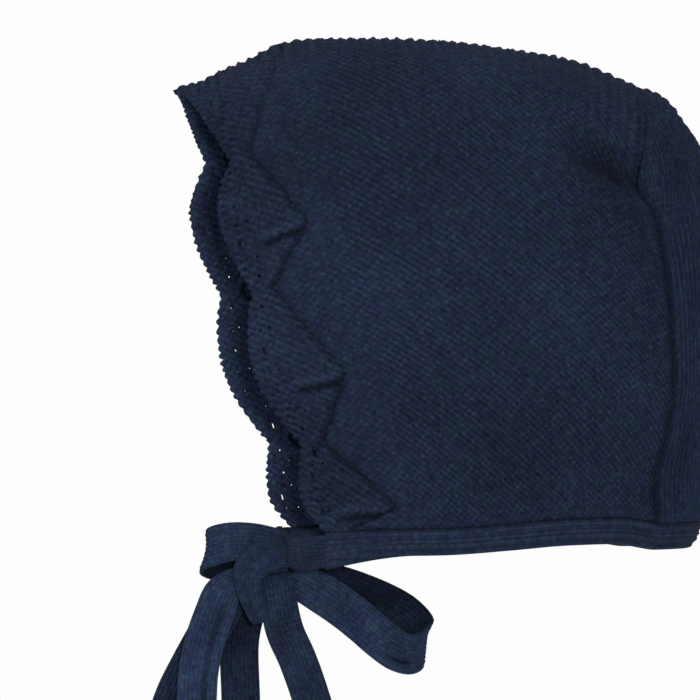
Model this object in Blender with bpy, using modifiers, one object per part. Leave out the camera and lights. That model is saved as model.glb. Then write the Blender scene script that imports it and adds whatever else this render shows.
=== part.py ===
"""Baby bonnet of navy cotton knit with a scalloped lace border, tied under the chin in a bow.

Metres, +Z up. The face opening looks towards -Y, the near side of the bonnet is +X, and the two
sides mirror each other about X = 0. The origin is on the inside of the crown, where a head bears.
"""
import math

import bmesh
import bpy
import numpy as np
from mathutils import Vector

MM = 0.001

# Knit thicknesses and the small clearances between neighbouring pieces
WALL = 2.2 * MM
LACE_WALL = 2.0 * MM
BACK_WALL = 2.4 * MM
TIE_WALL = 2.0 * MM
SEAM_GAP = 0.9 * MM
GROOVE_GAP = 1.0 * MM
BAND_GAP = 0.5 * MM
TIE_GAP = 0.4 * MM
KNOT_GAP = 0.5 * MM

# Head-shaped shell: crown length from the border's base line to the back seam, height from the
# crown to the neck edge, half width at the ears, and how far the back bulges behind the seam
CROWN_LENGTH = 128.6 * MM
FRONT_REACH = 61.4 * MM
CROWN_RISE = 0.7 * MM
SHELL_HEIGHT = 156.9 * MM
HALF_WIDTH = 57.5 * MM
EQUATOR_DROP = 83.0 * MM
BACK_BULGE = 24.0 * MM
HEAD_MIDDLE_DROP = 75.0 * MM
HEAD_LENGTH_WEIGHT = 0.5
BORDER_LOOK = 8.0 * MM

# Sections across the crown, from the border's base line (share 0) to the back seam (share 1):
# share of the crown's length, drop of the crown and of the neck edge in shares of the shell's
# height, half width in shares of the widest, squareness of the arch, narrowing at the neck
CROWN_DROP, NECK_DROP, HALF_SHARE, SQUARENESS, NARROWING = range(1, 6)
SECTIONS = np.array([
    (0.000, 0.047, 1.000, 0.713, 2.0, 0.00),
    (0.125, 0.000, 0.998, 0.780, 2.1, 0.04),
    (0.300, 0.001, 0.996, 0.920, 2.3, 0.10),
    (0.500, 0.005, 0.987, 1.000, 2.4, 0.14),
    (0.700, 0.025, 0.977, 0.975, 2.4, 0.15),
    (0.850, 0.047, 0.975, 0.870, 2.4, 0.14),
    (1.000, 0.094, 0.988, 0.678, 2.4, 0.13),
])

# Side view of the two edges, from the crown (arc share 0) to the neck (arc share 1):
# arc share, set-back from the crown's front end in shares of the crown's length
SETBACK = 1
FACE_EDGE = np.array([
    (0.00, 0.000),
    (0.30, -0.011),
    (0.40, -0.001),
    (0.54, 0.038),
    (0.80, 0.150),
    (1.00, 0.221),
])
BACK_SEAM = np.array([
    (0.00, 1.000),
    (0.16, 0.990),
    (0.32, 0.969),
    (0.40, 1.004),
    (0.60, 1.040),
    (0.73, 1.047),
    (0.82, 1.032),
    (0.92, 1.003),
    (1.00, 1.012),
])

# Middle line of the back panel, from the seam on the crown to the neck: arc share, set-back
# beyond the seam in shares of the bulge, drop below the seam in shares of the shell's height
BULGE, DROP = range(1, 3)
BACK_LINE = np.array([
    (0.00, 0.00, 0.000),
    (0.06, 0.32, 0.022),
    (0.13, 0.60, 0.072),
    (0.21, 0.84, 0.133),
    (0.28, 0.93, 0.194),
    (0.43, 1.00, 0.337),
    (0.64, 1.00, 0.541),
    (0.81, 0.95, 0.704),
    (0.96, 0.87, 0.847),
    (1.00, 0.83, 0.893),
])
# Arc share of the seam's corner; how round the back is at the neck and at the crown; its ribs;
# and how far in from its edge the edge's own slope is taken
SEAM_CORNER = 0.32
BACK_FULLNESS = math.radians(62)
BACK_ARCH_FULLNESS = math.radians(84)
BACK_RIBS = 13
RIB_RELIEF = 0.45 * MM
EDGE_LOOK_ACROSS = 0.02
EDGE_LOOK_DOWN = 0.012

# Dent where the side panel turns into the crown, just ahead of the seam's corner
DENT_DEPTH = 4.2 * MM
DENT_LENGTH = 15.0 * MM
DENT_WIDTH = 6.5 * MM
DENT_SETBACK = 8.0 * MM
DENT_SLANT = 0.35

# Leaves of the lace border on one side, as arc shares along the base line: upper valley, crest
# of the scallop, rib with the leaf's point, lower valley; then the scallop's reach and the leaf's
# depth in shares of the named sizes, and how round the scallop is (1 is a straight-sided point)
SCALLOP_REACH = 24.5 * MM
LEAF_DEPTH = 15.0 * MM
VALLEY_REACH = 6.5 * MM
LEAVES = (
    (0.275, 0.36, 0.445, 0.54, 0.50, 1.00, 1.6),
    (0.54, 0.69, 0.718, 0.83, 0.56, 0.87, 1.9),
    (0.83, 0.935, 0.96, 1.00, 0.46, 1.20, 1.6),
)
CROWN_LEAF_HALF = 0.275
CROWN_LEAF_ROUNDNESS = 1.1
EYELET_INSET = 0.05 * MM
EYELET_SHARE = 0.44

# Folded rib binding: height along the sides, extra height over the last share of each front
# end, thickness, how square its section is (1 is round), how far its lower edge leans in at the
# back, and the share of the neck line that runs along the two sides
BAND_HEIGHT = 8.2 * MM
BAND_FRONT_EXTRA = 3.4 * MM
BAND_FRONT_SHARE = 0.22
BAND_THICKNESS = 4.6 * MM
BAND_SQUARENESS = 0.7
BAND_LEAN = 0.55
BAND_LEAN_FADE = 3.0
NECK_SIDE_SHARE = 0.72
NECK_STEP = 0.004

# Ties and bow, placed from the knot
TIE_WIDTH = 13.0 * MM
TIE_PINCH = 0.42
TIE_PINCH_LENGTH = 7.0 * MM
KNOT_SIZE = (14.0 * MM, 19.0 * MM, 14.0 * MM)
KNOT_WRAP_RELIEF = 0.02
KNOT_WRAP_TURNS = 14.0
KNOT_WRAP_SLANT = 0.4
KNOT_FORWARD = 52.3 * MM
KNOT_DROP = 165.8 * MM
RIGHT_LOOP = 50.0 * MM
LEFT_LOOP = 65.0 * MM
UPPER_LOOP = 22.0 * MM
FRONT_TAIL = 105.0 * MM
MIDDLE_TAIL = 98.0 * MM
TIE_REACH = 40.0 * MM

# Routes of the loops and tails from the knot's centre in shares of each one's length:
# backwards, upwards, towards the near side, and the angle in degrees at which the band's
# width lies in side view
RIGHT_ROUTE = (
    (0.06, -0.10, 0.06, 75),
    (0.22, -0.16, 0.08, 72),
    (0.42, -0.21, 0.13, 66),
    (0.62, -0.31, 0.17, 60),
    (0.80, -0.45, 0.17, 58),
    (0.93, -0.53, 0.11, 66),
    (1.00, -0.52, 0.00, 74),
    (0.97, -0.43, -0.10, 74),
    (0.84, -0.28, -0.14, 66),
    (0.64, -0.17, -0.12, 64),
    (0.42, -0.10, -0.09, 70),
    (0.20, -0.04, -0.07, 75),
    (0.04, 0.00, -0.05, 78),
)
LEFT_ROUTE = (
    (-0.02, -0.04, 0.04, -56),
    (-0.14, -0.06, 0.06, -52),
    (-0.23, -0.12, 0.08, -46),
    (-0.28, -0.23, 0.10, -34),
    (-0.33, -0.37, 0.11, -22),
    (-0.36, -0.52, 0.11, -12),
    (-0.37, -0.68, 0.11, -6),
    (-0.38, -0.82, 0.09, -4),
    (-0.41, -0.91, 0.05, -4),
    (-0.45, -0.95, -0.02, -6),
    (-0.49, -0.90, -0.08, -10),
    (-0.49, -0.78, -0.10, -16),
    (-0.45, -0.64, -0.10, -24),
    (-0.37, -0.48, -0.10, -30),
    (-0.27, -0.30, -0.09, -36),
    (-0.19, -0.17, -0.07, -46),
    (-0.12, -0.08, -0.06, -54),
    (-0.02, -0.04, -0.05, -58),
)
UPPER_ROUTE = (
    (0.05, 0.34, 0.05, 98),
    (-0.20, 0.48, 0.12, 88),
    (-0.46, 0.50, 0.18, 80),
    (-0.70, 0.44, 0.18, 76),
    (-0.88, 0.38, 0.06, 74),
    (-0.90, 0.32, -0.10, 74),
    (-0.76, 0.28, -0.20, 78),
    (-0.48, 0.24, -0.20, 82),
    (-0.18, 0.18, -0.14, 86),
)
FRONT_ROUTE = (
    (0.01, -0.01, 0.055, -2),
    (0.025, -0.10, 0.085, 0),
    (0.04, -0.20, 0.090, 6),
    (0.075, -0.28, 0.085, 15),
    (0.115, -0.38, 0.078, 18),
    (0.16, -0.53, 0.070, 12),
    (0.19, -0.71, 0.062, 4),
    (0.185, -1.00, 0.060, -3),
)
MIDDLE_ROUTE = (
    (0.00, -0.01, -0.085, 4),
    (-0.04, -0.10, -0.102, 3),
    (-0.08, -0.24, -0.100, 1),
    (-0.08, -0.44, -0.080, 0),
    (-0.08, -0.64, -0.065, -3),
    (-0.10, -0.82, -0.050, -6),
    (-0.13, -1.00, -0.045, -8),
)
# Pieces of the bow: route, length, width in shares of the tie's width
BOW_PIECES = {
    "right_loop": (RIGHT_ROUTE, RIGHT_LOOP, 1.12),
    "left_loop": (LEFT_ROUTE, LEFT_LOOP, 0.98),
    "upper_loop": (UPPER_ROUTE, UPPER_LOOP, 1.00),
    "front_tail": (FRONT_ROUTE, FRONT_TAIL, 0.85),
    "middle_tail": (MIDDLE_ROUTE, MIDDLE_TAIL, 0.95),
}
# The tie's route from the neckband's front end (share 0) to the knot (share 1): share, sag and
# set-back in shares of the tie's reach
TIE_ROUTE = (
    (0.00, 0.00, 0.00),
    (0.25, 0.03, -0.05),
    (0.50, 0.03, -0.07),
    (0.75, 0.01, -0.04),
    (1.00, 0.00, 0.00),
)
TIE_LEAD = 4.0 * MM
TIE_KNOT_SIDE = 0.3
TIE_KNOT_SETBACK = 5.0 * MM
TIE_KNOT_RISE = 6.5 * MM

# Mesh fineness, and the number of points at which a route is tried against the knot
SECTION_SAMPLES = 40
LEAF_COLUMNS = 10
CROWN_LEAF_COLUMNS = 16
PANEL_LEAF_COLUMNS = 6
PANEL_CROWN_COLUMNS = 16
LACE_ROWS = 7
PANEL_ROWS = 11
BACK_ROWS = 12
BAND_STATIONS = 44
BAND_SIDES = 8
BAND_CROSS = 4
TIE_STATIONS = 12
BOW_STATIONS = {
    "right_loop": 26,
    "left_loop": 28,
    "upper_loop": 18,
    "front_tail": 18,
    "middle_tail": 16,
}
ROUTE_STEP = 0.01
ROUTE_SAMPLES = 400
WELD = 0.01 * MM

# Knit colours and roughness
NAVY = (0.0130, 0.0190, 0.0400, 1.0)
NAVY_LACE = (0.0140, 0.0200, 0.0420, 1.0)
NAVY_RIB = (0.0150, 0.0215, 0.0440, 1.0)
NAVY_TIE = (0.0160, 0.0230, 0.0480, 1.0)
KNIT_ROUGHNESS = 0.9


def level_slopes(stations, values):
    """Slopes that keep a curve between its points, so that it never overshoots them."""
    secants = np.diff(values) / np.diff(stations)
    same = secants[:-1] * secants[1:] > 0
    total = np.where(same, secants[:-1] + secants[1:], 1.0)
    middle = np.where(same, 2 * secants[:-1] * secants[1:] / total, 0.0)
    return np.concatenate((secants[:1], middle, secants[-1:]))


def plain_slopes(stations, values):
    """Slopes of a route, which may swing past its points."""
    return np.gradient(values, stations)


def curve_through(rows, share, column, slope_rule=level_slopes):
    """Smooth curve through one column of a table whose first column is the share."""
    stations = rows[:, 0]
    values = rows[:, column]
    slopes = slope_rule(stations, values)
    low = np.clip(np.searchsorted(stations, share, side="right") - 1, 0, len(stations) - 2)
    step = stations[low + 1] - stations[low]
    p = np.clip((share - stations[low]) / step, 0.0, 1.0)
    start = (2 * p ** 3 - 3 * p ** 2 + 1) * values[low] + (p ** 3 - 2 * p ** 2 + p) * step * slopes[low]
    end = (3 * p ** 2 - 2 * p ** 3) * values[low + 1] + (p ** 3 - p ** 2) * step * slopes[low + 1]
    return start + end


def section_point(depth_share, arc_share):
    """Half width and height of the U-shaped section, at an arc share from crown to neck."""
    top = WALL + CROWN_RISE
    crown = (top - SHELL_HEIGHT * curve_through(SECTIONS, depth_share, CROWN_DROP))[:, None]
    neck = (top - SHELL_HEIGHT * curve_through(SECTIONS, depth_share, NECK_DROP))[:, None]
    half = (HALF_WIDTH * curve_through(SECTIONS, depth_share, HALF_SHARE))[:, None]
    power = (2.0 / curve_through(SECTIONS, depth_share, SQUARENESS))[:, None]
    narrowing = curve_through(SECTIONS, depth_share, NARROWING)[:, None]
    equator = top - EQUATOR_DROP
    turn = np.linspace(0.0, math.pi / 2, SECTION_SAMPLES)[None, :]
    fall = np.linspace(0.0, 1.0, SECTION_SAMPLES)[None, 1:]
    arch_x = half * np.sin(turn) ** power
    arch_z = equator + (crown - equator) * np.clip(np.cos(turn), 0.0, 1.0) ** power
    side_x = half * (1.0 - narrowing * fall ** 2)
    side_z = equator + (neck - equator) * fall
    x = np.hstack((arch_x, side_x))
    z = np.hstack((arch_z, side_z))
    steps = np.hypot(np.diff(x, axis=1), np.diff(z, axis=1))
    travel = np.hstack((np.zeros((len(x), 1)), np.cumsum(steps, axis=1)))
    target = arc_share * travel[:, -1]
    after = np.clip((travel < target[:, None]).sum(axis=1), 1, x.shape[1] - 1)
    row = np.arange(len(x))
    gap = travel[row, after] - travel[row, after - 1]
    part = (target - travel[row, after - 1]) / gap
    return (x[row, after - 1] + part * (x[row, after] - x[row, after - 1]),
            z[row, after - 1] + part * (z[row, after] - z[row, after - 1]))


def shell_length(arc_share):
    """Length of the panel from the border's base line to the back seam at an arc share."""
    seam = curve_through(BACK_SEAM, arc_share, SETBACK)
    return CROWN_LENGTH * (seam - curve_through(FACE_EDGE, arc_share, SETBACK))


def smooth_shell(arc, setback):
    """Outer surface: arc -1 to 1 from one neck edge over the crown to the other."""
    arc_share = np.abs(arc)
    length = shell_length(arc_share)
    depth = np.clip(setback / length, 0.0, 1.0)
    half, z = section_point(depth, arc_share)
    start = CROWN_LENGTH * curve_through(FACE_EDGE, arc_share, SETBACK) - FRONT_REACH
    y = start + depth * length
    return np.stack((np.where(arc < 0, -half, half), y, z), axis=1)


def towards_head(points):
    """Unit vectors from the surface to the middle of the head."""
    middle = np.array((0.0, 0.0, -HEAD_MIDDLE_DROP))
    inward = middle - points
    inward[:, 1] *= HEAD_LENGTH_WEIGHT
    return inward / np.linalg.norm(inward, axis=1, keepdims=True)


def dent(arc_share, ahead_of_seam):
    """Depth of the dent at the seam's corner."""
    along = (ahead_of_seam - DENT_SETBACK) / DENT_LENGTH
    across = (arc_share - SEAM_CORNER) * SHELL_HEIGHT / DENT_WIDTH
    return DENT_DEPTH * np.exp(-along ** 2 - (across - DENT_SLANT * along) ** 2)


def shell(arc, setback):
    """Shell surface with its dent, carried on past the base line for the border."""
    points = smooth_shell(arc, setback)
    arc_share = np.abs(arc)
    depth = dent(arc_share, shell_length(arc_share) - setback)
    points = points + towards_head(points) * depth[:, None]
    behind = smooth_shell(arc, np.full_like(arc, BORDER_LOOK))
    ahead = smooth_shell(arc, np.zeros_like(arc)) - behind
    ahead /= np.linalg.norm(ahead, axis=1, keepdims=True)
    return points + ahead * np.clip(-setback, 0.0, None)[:, None]


def back_surface(across, down):
    """Back panel: across -1 to 1 between the seams, down 0 to 1 from the crown to the neck."""
    def seam_side(share):
        arc = SEAM_CORNER + (1.0 - SEAM_CORNER) * share
        return smooth_shell(arc, shell_length(arc))

    def plain_row(across, down):
        side = seam_side(down)
        top = smooth_shell(np.zeros_like(down), shell_length(np.zeros_like(down)))
        middle = top.copy()
        middle[:, 1] += BACK_BULGE * curve_through(BACK_LINE, down, BULGE)
        middle[:, 2] -= SHELL_HEIGHT * curve_through(BACK_LINE, down, DROP)
        fullness = BACK_FULLNESS + (BACK_ARCH_FULLNESS - BACK_FULLNESS) * (1.0 - down) ** 3
        turn = across * fullness
        rise = (np.cos(turn) - np.cos(fullness)) / (1.0 - np.cos(fullness))
        points = np.empty_like(side)
        points[:, 0] = side[:, 0] * np.sin(turn) / np.sin(fullness)
        points[:, 1] = side[:, 1] + (middle[:, 1] - side[:, 1]) * rise
        points[:, 2] = side[:, 2] + (middle[:, 2] - side[:, 2]) * rise
        return points

    arch_arc = across * SEAM_CORNER
    arch = smooth_shell(arch_arc, shell_length(np.abs(arch_arc)))
    arch_error = arch - plain_row(across, np.zeros_like(down))
    return plain_row(across, down) + arch_error * ((1.0 - down) ** 3)[:, None]


def leaf_rows():
    """All leaves from the far neck edge to the near one, as in the table."""
    far = [(-high, -crest, -rib, -low, *rest) for low, crest, rib, high, *rest in reversed(LEAVES)]
    crown = (-CROWN_LEAF_HALF, 0.0, 0.0, CROWN_LEAF_HALF, 1.0, 1.0, CROWN_LEAF_ROUNDNESS)
    return far + [crown] + list(LEAVES)


def leaf_columns(side_count, crown_count):
    """Arc positions of the columns, so that each rib and each valley has one of its own."""
    columns = []
    for low, crest, rib, high, *_ in leaf_rows():
        count = crown_count if rib == 0.0 else side_count
        columns += list(np.linspace(low, rib, count // 2, endpoint=False))
        columns += list(np.linspace(rib, high, count // 2, endpoint=False))
    return np.array(columns + [1.0])


def leaf_outline(arc):
    """Depth of the leaf's inner edge and reach of its scallop at each arc position."""
    inner = np.zeros_like(arc)
    outer = np.full_like(arc, VALLEY_REACH)
    for low, crest, rib, high, reach, depth, roundness in leaf_rows():
        inside = (arc >= low) & (arc <= high)
        off_rib = np.where(arc < rib, (rib - arc) / (rib - low), (arc - rib) / (high - rib))
        away = np.where(arc < crest, (crest - arc) / (crest - low), (arc - crest) / (high - crest))
        off_rib = np.clip(off_rib, 0.0, 1.0)
        away = np.clip(away, 0.0, 1.0)
        inner = np.where(inside, LEAF_DEPTH * depth * (1.0 - off_rib), inner)
        swell = (SCALLOP_REACH * reach - VALLEY_REACH) * (1.0 - away ** roundness)
        outer = np.where(inside, VALLEY_REACH + swell, outer)
    return inner, outer


def knit_material(name, colour):
    """Plain Principled material of one knit."""
    material = bpy.data.materials.new(name)
    material.use_nodes = True
    shader = material.node_tree.nodes["Principled BSDF"]
    shader.inputs["Base Color"].default_value = colour
    shader.inputs["Roughness"].default_value = KNIT_ROUGHNESS
    shader.inputs["Metallic"].default_value = 0.0
    material.diffuse_color = colour
    return material


def add_object(name, mesh, material, parts):
    """Object of one piece, shaded smooth."""
    mesh.materials.append(material)
    mesh.shade_smooth()
    piece = bpy.data.objects.new(name, mesh)
    parts.objects.link(piece)
    return piece


def grid_mesh(columns, rows, place):
    """Grid whose points are moved to place(column, row), and its faces by column and row."""
    bm = bmesh.new()
    bmesh.ops.create_grid(bm, x_segments=columns, y_segments=rows, size=0.5)
    column = np.array([round((v.co.x + 0.5) * columns) for v in bm.verts])
    row = np.array([round((v.co.y + 0.5) * rows) for v in bm.verts])
    cells = {(math.floor((f.calc_center_median().x + 0.5) * columns),
              math.floor((f.calc_center_median().y + 0.5) * rows)): f for f in bm.faces}
    for vertex, spot in zip(bm.verts, place(column, row)):
        vertex.co = Vector(spot)
    return bm, cells


def finish_sheet(name, bm, thickness, offset, material, parts):
    """Open surface with a wall: offset -1 keeps the surface as the outer side."""
    mesh = bpy.data.meshes.new(name)
    bm.to_mesh(mesh)
    bm.free()
    piece = add_object(name, mesh, material, parts)
    wall = piece.modifiers.new("Wall", "SOLIDIFY")
    wall.thickness = thickness
    wall.offset = offset
    return piece


def make_panel(material, parts):
    """Crown and sides, from the leaves' inner edge to the back seam."""
    arcs = leaf_columns(PANEL_LEAF_COLUMNS, PANEL_CROWN_COLUMNS)

    def place(column, row):
        arc = arcs[column]
        start = leaf_outline(arc)[0] + GROOVE_GAP
        end = shell_length(np.abs(arc)) - SEAM_GAP / 2
        return shell(arc, start + (end - start) * row / PANEL_ROWS)

    bm, _ = grid_mesh(len(arcs) - 1, PANEL_ROWS, place)
    return finish_sheet("seed_stitch_panel", bm, WALL, -1.0, material, parts)


def eyelet_cells(columns):
    """Cells of the border that hold an eyelet: a line along the scallops and one along the leaves."""
    cells = []
    for column in range(1, columns - 1):
        if column % 2 == 1:
            cells.append((column, LACE_ROWS - 3))
        if column % 4 == 2:
            cells.append((column, 1))
        if column % LEAF_COLUMNS in (0, LEAF_COLUMNS - 1):
            cells.append((column, LACE_ROWS - 5))
    return cells


def make_lace(material, parts):
    """Border of leaves, from their inner edge out to the scallops, pierced by eyelets."""
    arcs = leaf_columns(LEAF_COLUMNS, CROWN_LEAF_COLUMNS)

    def place(column, row):
        arc = arcs[column]
        inner, outer = leaf_outline(arc)
        return shell(arc, inner - (inner + outer) * row / LACE_ROWS)

    bm, cells = grid_mesh(len(arcs) - 1, LACE_ROWS, place)
    holes = [cells[cell] for cell in eyelet_cells(len(arcs) - 1)]
    bmesh.ops.inset_individual(bm, faces=holes, thickness=EYELET_INSET, use_even_offset=False)
    for hole in holes:
        middle = hole.calc_center_median()
        for vertex in hole.verts:
            vertex.co = middle + (vertex.co - middle) * EYELET_SHARE
    bmesh.ops.delete(bm, geom=holes, context="FACES")
    bmesh.ops.reverse_faces(bm, faces=bm.faces)
    return finish_sheet("lace_border", bm, LACE_WALL, -1.0, material, parts)


def make_back(material, parts):
    """Ribbed back panel, a seam's gap inside its edge."""
    columns = 2 * BACK_RIBS

    def place(column, row):
        across = 2.0 * column / columns - 1.0
        down = row / BACK_ROWS
        points = back_surface(across, down)
        inward = towards_head(points)
        at_edge = (column == 0) | (column == columns) | (row == 0)
        ridge = np.where((column % 2 == 1) & ~at_edge, RIB_RELIEF, 0.0)
        points -= inward * ridge[:, None]
        within = back_surface(across * (1.0 - EDGE_LOOK_ACROSS), np.clip(down, EDGE_LOOK_DOWN, 1.0))
        slip = within[at_edge] - back_surface(across, down)[at_edge]
        slip /= np.linalg.norm(slip, axis=1, keepdims=True)
        points[at_edge] += slip * SEAM_GAP / 2
        return points

    bm, _ = grid_mesh(columns, BACK_ROWS, place)
    return finish_sheet("back_panel", bm, BACK_WALL, -1.0, material, parts)


def neck_line(share):
    """Lower edge of the wall from the near front end (share 0) round the back to the far one."""
    near = np.abs(share - 0.5) * 2.0
    side = np.where(share < 0.5, 1.0, -1.0)
    ones = np.ones_like(near)
    front = -leaf_outline(ones)[1]
    side_length = shell_length(ones)
    back_share = 1.0 - NECK_SIDE_SHARE
    along = np.clip((near - back_share) / NECK_SIDE_SHARE, 0.0, 1.0)
    on_side = shell(side * ones, side_length + (front - side_length) * along)
    on_back = back_surface(side * np.clip(near / back_share, 0.0, 1.0), ones)
    return np.where((near > back_share)[:, None], on_side, on_back)


def neck_frame(share):
    """Points of the neck edge, with the level directions outward across it."""
    ahead = neck_line(np.clip(share + NECK_STEP, 0.0, 1.0))
    before = neck_line(np.clip(share - NECK_STEP, 0.0, 1.0))
    along = ahead - before
    outward = np.stack((along[:, 1], -along[:, 0], np.zeros(len(along))), axis=1)
    outward /= np.linalg.norm(outward, axis=1, keepdims=True)
    return neck_line(share), outward


def band_height(share):
    """Height of the binding, taller at its front ends."""
    near_end = np.abs(share - 0.5) * 2.0
    rise = np.clip((near_end - 1.0) / BAND_FRONT_SHARE + 1.0, 0.0, 1.0)
    return BAND_HEIGHT + BAND_FRONT_EXTRA * rise ** 1.5


def make_band(material, parts):
    """Rounded binding that hangs from the lower edge of the wall."""
    def place(column, row):
        share = column / BAND_STATIONS
        points, outward = neck_frame(share)
        turn = 2.0 * math.pi * row / BAND_SIDES
        across = np.sign(np.cos(turn)) * np.abs(np.cos(turn)) ** BAND_SQUARENESS
        upward = np.sign(np.sin(turn)) * np.abs(np.sin(turn)) ** BAND_SQUARENESS
        height = band_height(share)
        lean = BAND_LEAN * np.clip(1.0 - np.abs(share - 0.5) * BAND_LEAN_FADE, 0.0, 1.0)
        middle = points - outward * (WALL / 2 + lean * (1.0 - upward) * height / 2)[:, None]
        middle[:, 2] -= BAND_GAP + height / 2
        return (middle + outward * (across * BAND_THICKNESS / 2)[:, None]
                + np.array((0.0, 0.0, 1.0)) * (upward * height / 2)[:, None])

    bm, _ = grid_mesh(BAND_STATIONS, BAND_SIDES, place)
    bmesh.ops.remove_doubles(bm, verts=bm.verts, dist=WELD)
    ends = [edge for edge in bm.edges if edge.is_boundary]
    bmesh.ops.holes_fill(bm, edges=ends, sides=BAND_SIDES)
    bmesh.ops.recalc_face_normals(bm, faces=bm.faces)
    mesh = bpy.data.meshes.new("neckband")
    bm.to_mesh(mesh)
    bm.free()
    return add_object("neckband", mesh, material, parts)


def knot_centre():
    """Centre of the knot, under the chin in the middle plane."""
    return np.array((0.0, -KNOT_FORWARD, -KNOT_DROP))


def clear_of_knot(points):
    """True where every point across the band lies outside the knot, by a piece's gap."""
    reach = np.array(KNOT_SIZE) / 2 + KNOT_GAP
    apart = (points - knot_centre()) / reach
    return (apart ** 2).sum(axis=2).min(axis=1) > 1.0


def band_along(route, angles, band_width, samples):
    """Rows of points across a band that follows a smooth route, kept outside the knot."""
    stations = np.linspace(0.0, 1.0, len(route))
    table = np.column_stack((stations, route, angles))

    def point_at(share):
        share = np.clip(share, 0.0, 1.0)
        return np.stack([curve_through(table, share, axis, plain_slopes) for axis in (1, 2, 3)], axis=1)

    def rows_at(share):
        middle = point_at(share)
        along = point_at(share + ROUTE_STEP) - point_at(share - ROUTE_STEP)
        along /= np.linalg.norm(along, axis=1, keepdims=True)
        lean = np.radians(curve_through(table, share, 4))
        width = np.stack((np.zeros_like(lean), np.cos(lean), np.sin(lean)), axis=1)
        width -= along * (width * along).sum(axis=1, keepdims=True)
        width /= np.linalg.norm(width, axis=1, keepdims=True)
        away = np.linalg.norm(middle - knot_centre(), axis=1) - KNOT_SIZE[1] / 2
        pinch = np.exp(-(np.clip(away, 0.0, None) / TIE_PINCH_LENGTH) ** 2)
        gathered = band_width * (1.0 - TIE_PINCH * pinch)
        spread = np.linspace(-0.5, 0.5, BAND_CROSS + 1)
        return middle[:, None, :] + width[:, None, :] * gathered[:, None, None] * spread[None, :, None]

    fine = np.linspace(0.0, 1.0, ROUTE_SAMPLES)
    clear = np.nonzero(clear_of_knot(rows_at(fine)))[0]
    return rows_at(np.linspace(fine[clear[0]], fine[clear[-1]], samples + 1))


def make_band_piece(name, route, angles, width, samples, material, parts):
    """Flat knitted band along a route, with its wall on both sides of its middle surface."""
    rows = band_along(np.array(route), np.array(angles), width, samples)
    bm, _ = grid_mesh(samples, BAND_CROSS, lambda column, row: rows[column, row])
    return finish_sheet(name, bm, TIE_WALL, 0.0, material, parts)


def bow_route(table, length):
    """A bow table's points in the part's frame, and its angles."""
    rows = np.array(table)
    route = knot_centre() + np.stack((rows[:, 2], rows[:, 0], rows[:, 1]), axis=1) * length
    return route, rows[:, 3]


def tie_route(side):
    """The way of a tie from the neckband's front end to the knot's side."""
    share = np.array([0.0 if side > 0 else 1.0])
    edge, outward = neck_frame(share)
    start = edge[0] - outward[0] * WALL / 2
    start[2] -= BAND_GAP + band_height(share)[0] / 2
    forward = np.array((outward[0][1], -outward[0][0], 0.0)) * side
    start = start + forward * TIE_GAP
    lead = start + forward * TIE_LEAD
    sideways = side * KNOT_SIZE[0] * TIE_KNOT_SIDE
    end = knot_centre() + np.array((sideways, TIE_KNOT_SETBACK, TIE_KNOT_RISE))
    rows = [start]
    for share, sag, setback in TIE_ROUTE:
        rows.append(lead + (end - lead) * share + np.array((0.0, setback, -sag)) * TIE_REACH)
    return rows, [90.0] * len(rows)


def make_knot(material, parts):
    """Knot: a round lump with the wraps of the band as soft ridges."""
    bm = bmesh.new()
    bmesh.ops.create_uvsphere(bm, u_segments=18, v_segments=10, radius=0.5)
    for vertex in bm.verts:
        phase = KNOT_WRAP_TURNS * (vertex.co.y + KNOT_WRAP_SLANT * vertex.co.z)
        wrap = 1.0 - KNOT_WRAP_RELIEF * (1.0 + math.cos(phase))
        vertex.co = Vector(np.array(vertex.co) * wrap * np.array(KNOT_SIZE) + knot_centre())
    mesh = bpy.data.meshes.new("bow_knot")
    bm.to_mesh(mesh)
    bm.free()
    return add_object("bow_knot", mesh, material, parts)


def main():
    for old in list(bpy.data.objects):
        bpy.data.objects.remove(old, do_unlink=True)
    parts = bpy.data.collections.new("baby_bonnet")
    bpy.context.scene.collection.children.link(parts)

    make_panel(knit_material("navy_seed_stitch", NAVY), parts)
    make_lace(knit_material("navy_lace", NAVY_LACE), parts)
    make_back(knit_material("navy_back_rib", NAVY), parts)
    make_band(knit_material("navy_neck_rib", NAVY_RIB), parts)
    for side, name in ((1, "near_tie"), (-1, "far_tie")):
        route, angles = tie_route(side)
        material = knit_material("navy_" + name, NAVY_TIE)
        make_band_piece(name, route, angles, TIE_WIDTH, TIE_STATIONS, material, parts)
    make_knot(knit_material("navy_knot", NAVY_TIE), parts)
    for name, (table, length, width_share) in BOW_PIECES.items():
        route, angles = bow_route(table, length)
        material = knit_material("navy_" + name, NAVY_TIE)
        make_band_piece(name, route, angles, TIE_WIDTH * width_share, BOW_STATIONS[name], material, parts)


main()
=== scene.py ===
"""Looks of the navy baby bonnet: knitted panels, lace border, rib bands and the bow, in metres."""
import math

import bpy
import numpy as np
from mathutils import Matrix, Vector


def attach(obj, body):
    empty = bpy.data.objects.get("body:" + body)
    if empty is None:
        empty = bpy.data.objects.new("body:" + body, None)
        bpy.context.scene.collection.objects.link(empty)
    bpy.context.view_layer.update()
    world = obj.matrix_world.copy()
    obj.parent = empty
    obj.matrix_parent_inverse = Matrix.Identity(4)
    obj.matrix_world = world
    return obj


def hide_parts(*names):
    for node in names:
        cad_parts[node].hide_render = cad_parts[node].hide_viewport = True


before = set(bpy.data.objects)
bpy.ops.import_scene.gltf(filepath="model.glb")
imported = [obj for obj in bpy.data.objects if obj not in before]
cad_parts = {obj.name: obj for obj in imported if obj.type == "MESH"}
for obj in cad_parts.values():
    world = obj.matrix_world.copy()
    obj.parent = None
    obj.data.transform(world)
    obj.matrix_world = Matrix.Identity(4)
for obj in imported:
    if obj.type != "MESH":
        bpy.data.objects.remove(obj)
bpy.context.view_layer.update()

MM = 0.001

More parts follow.
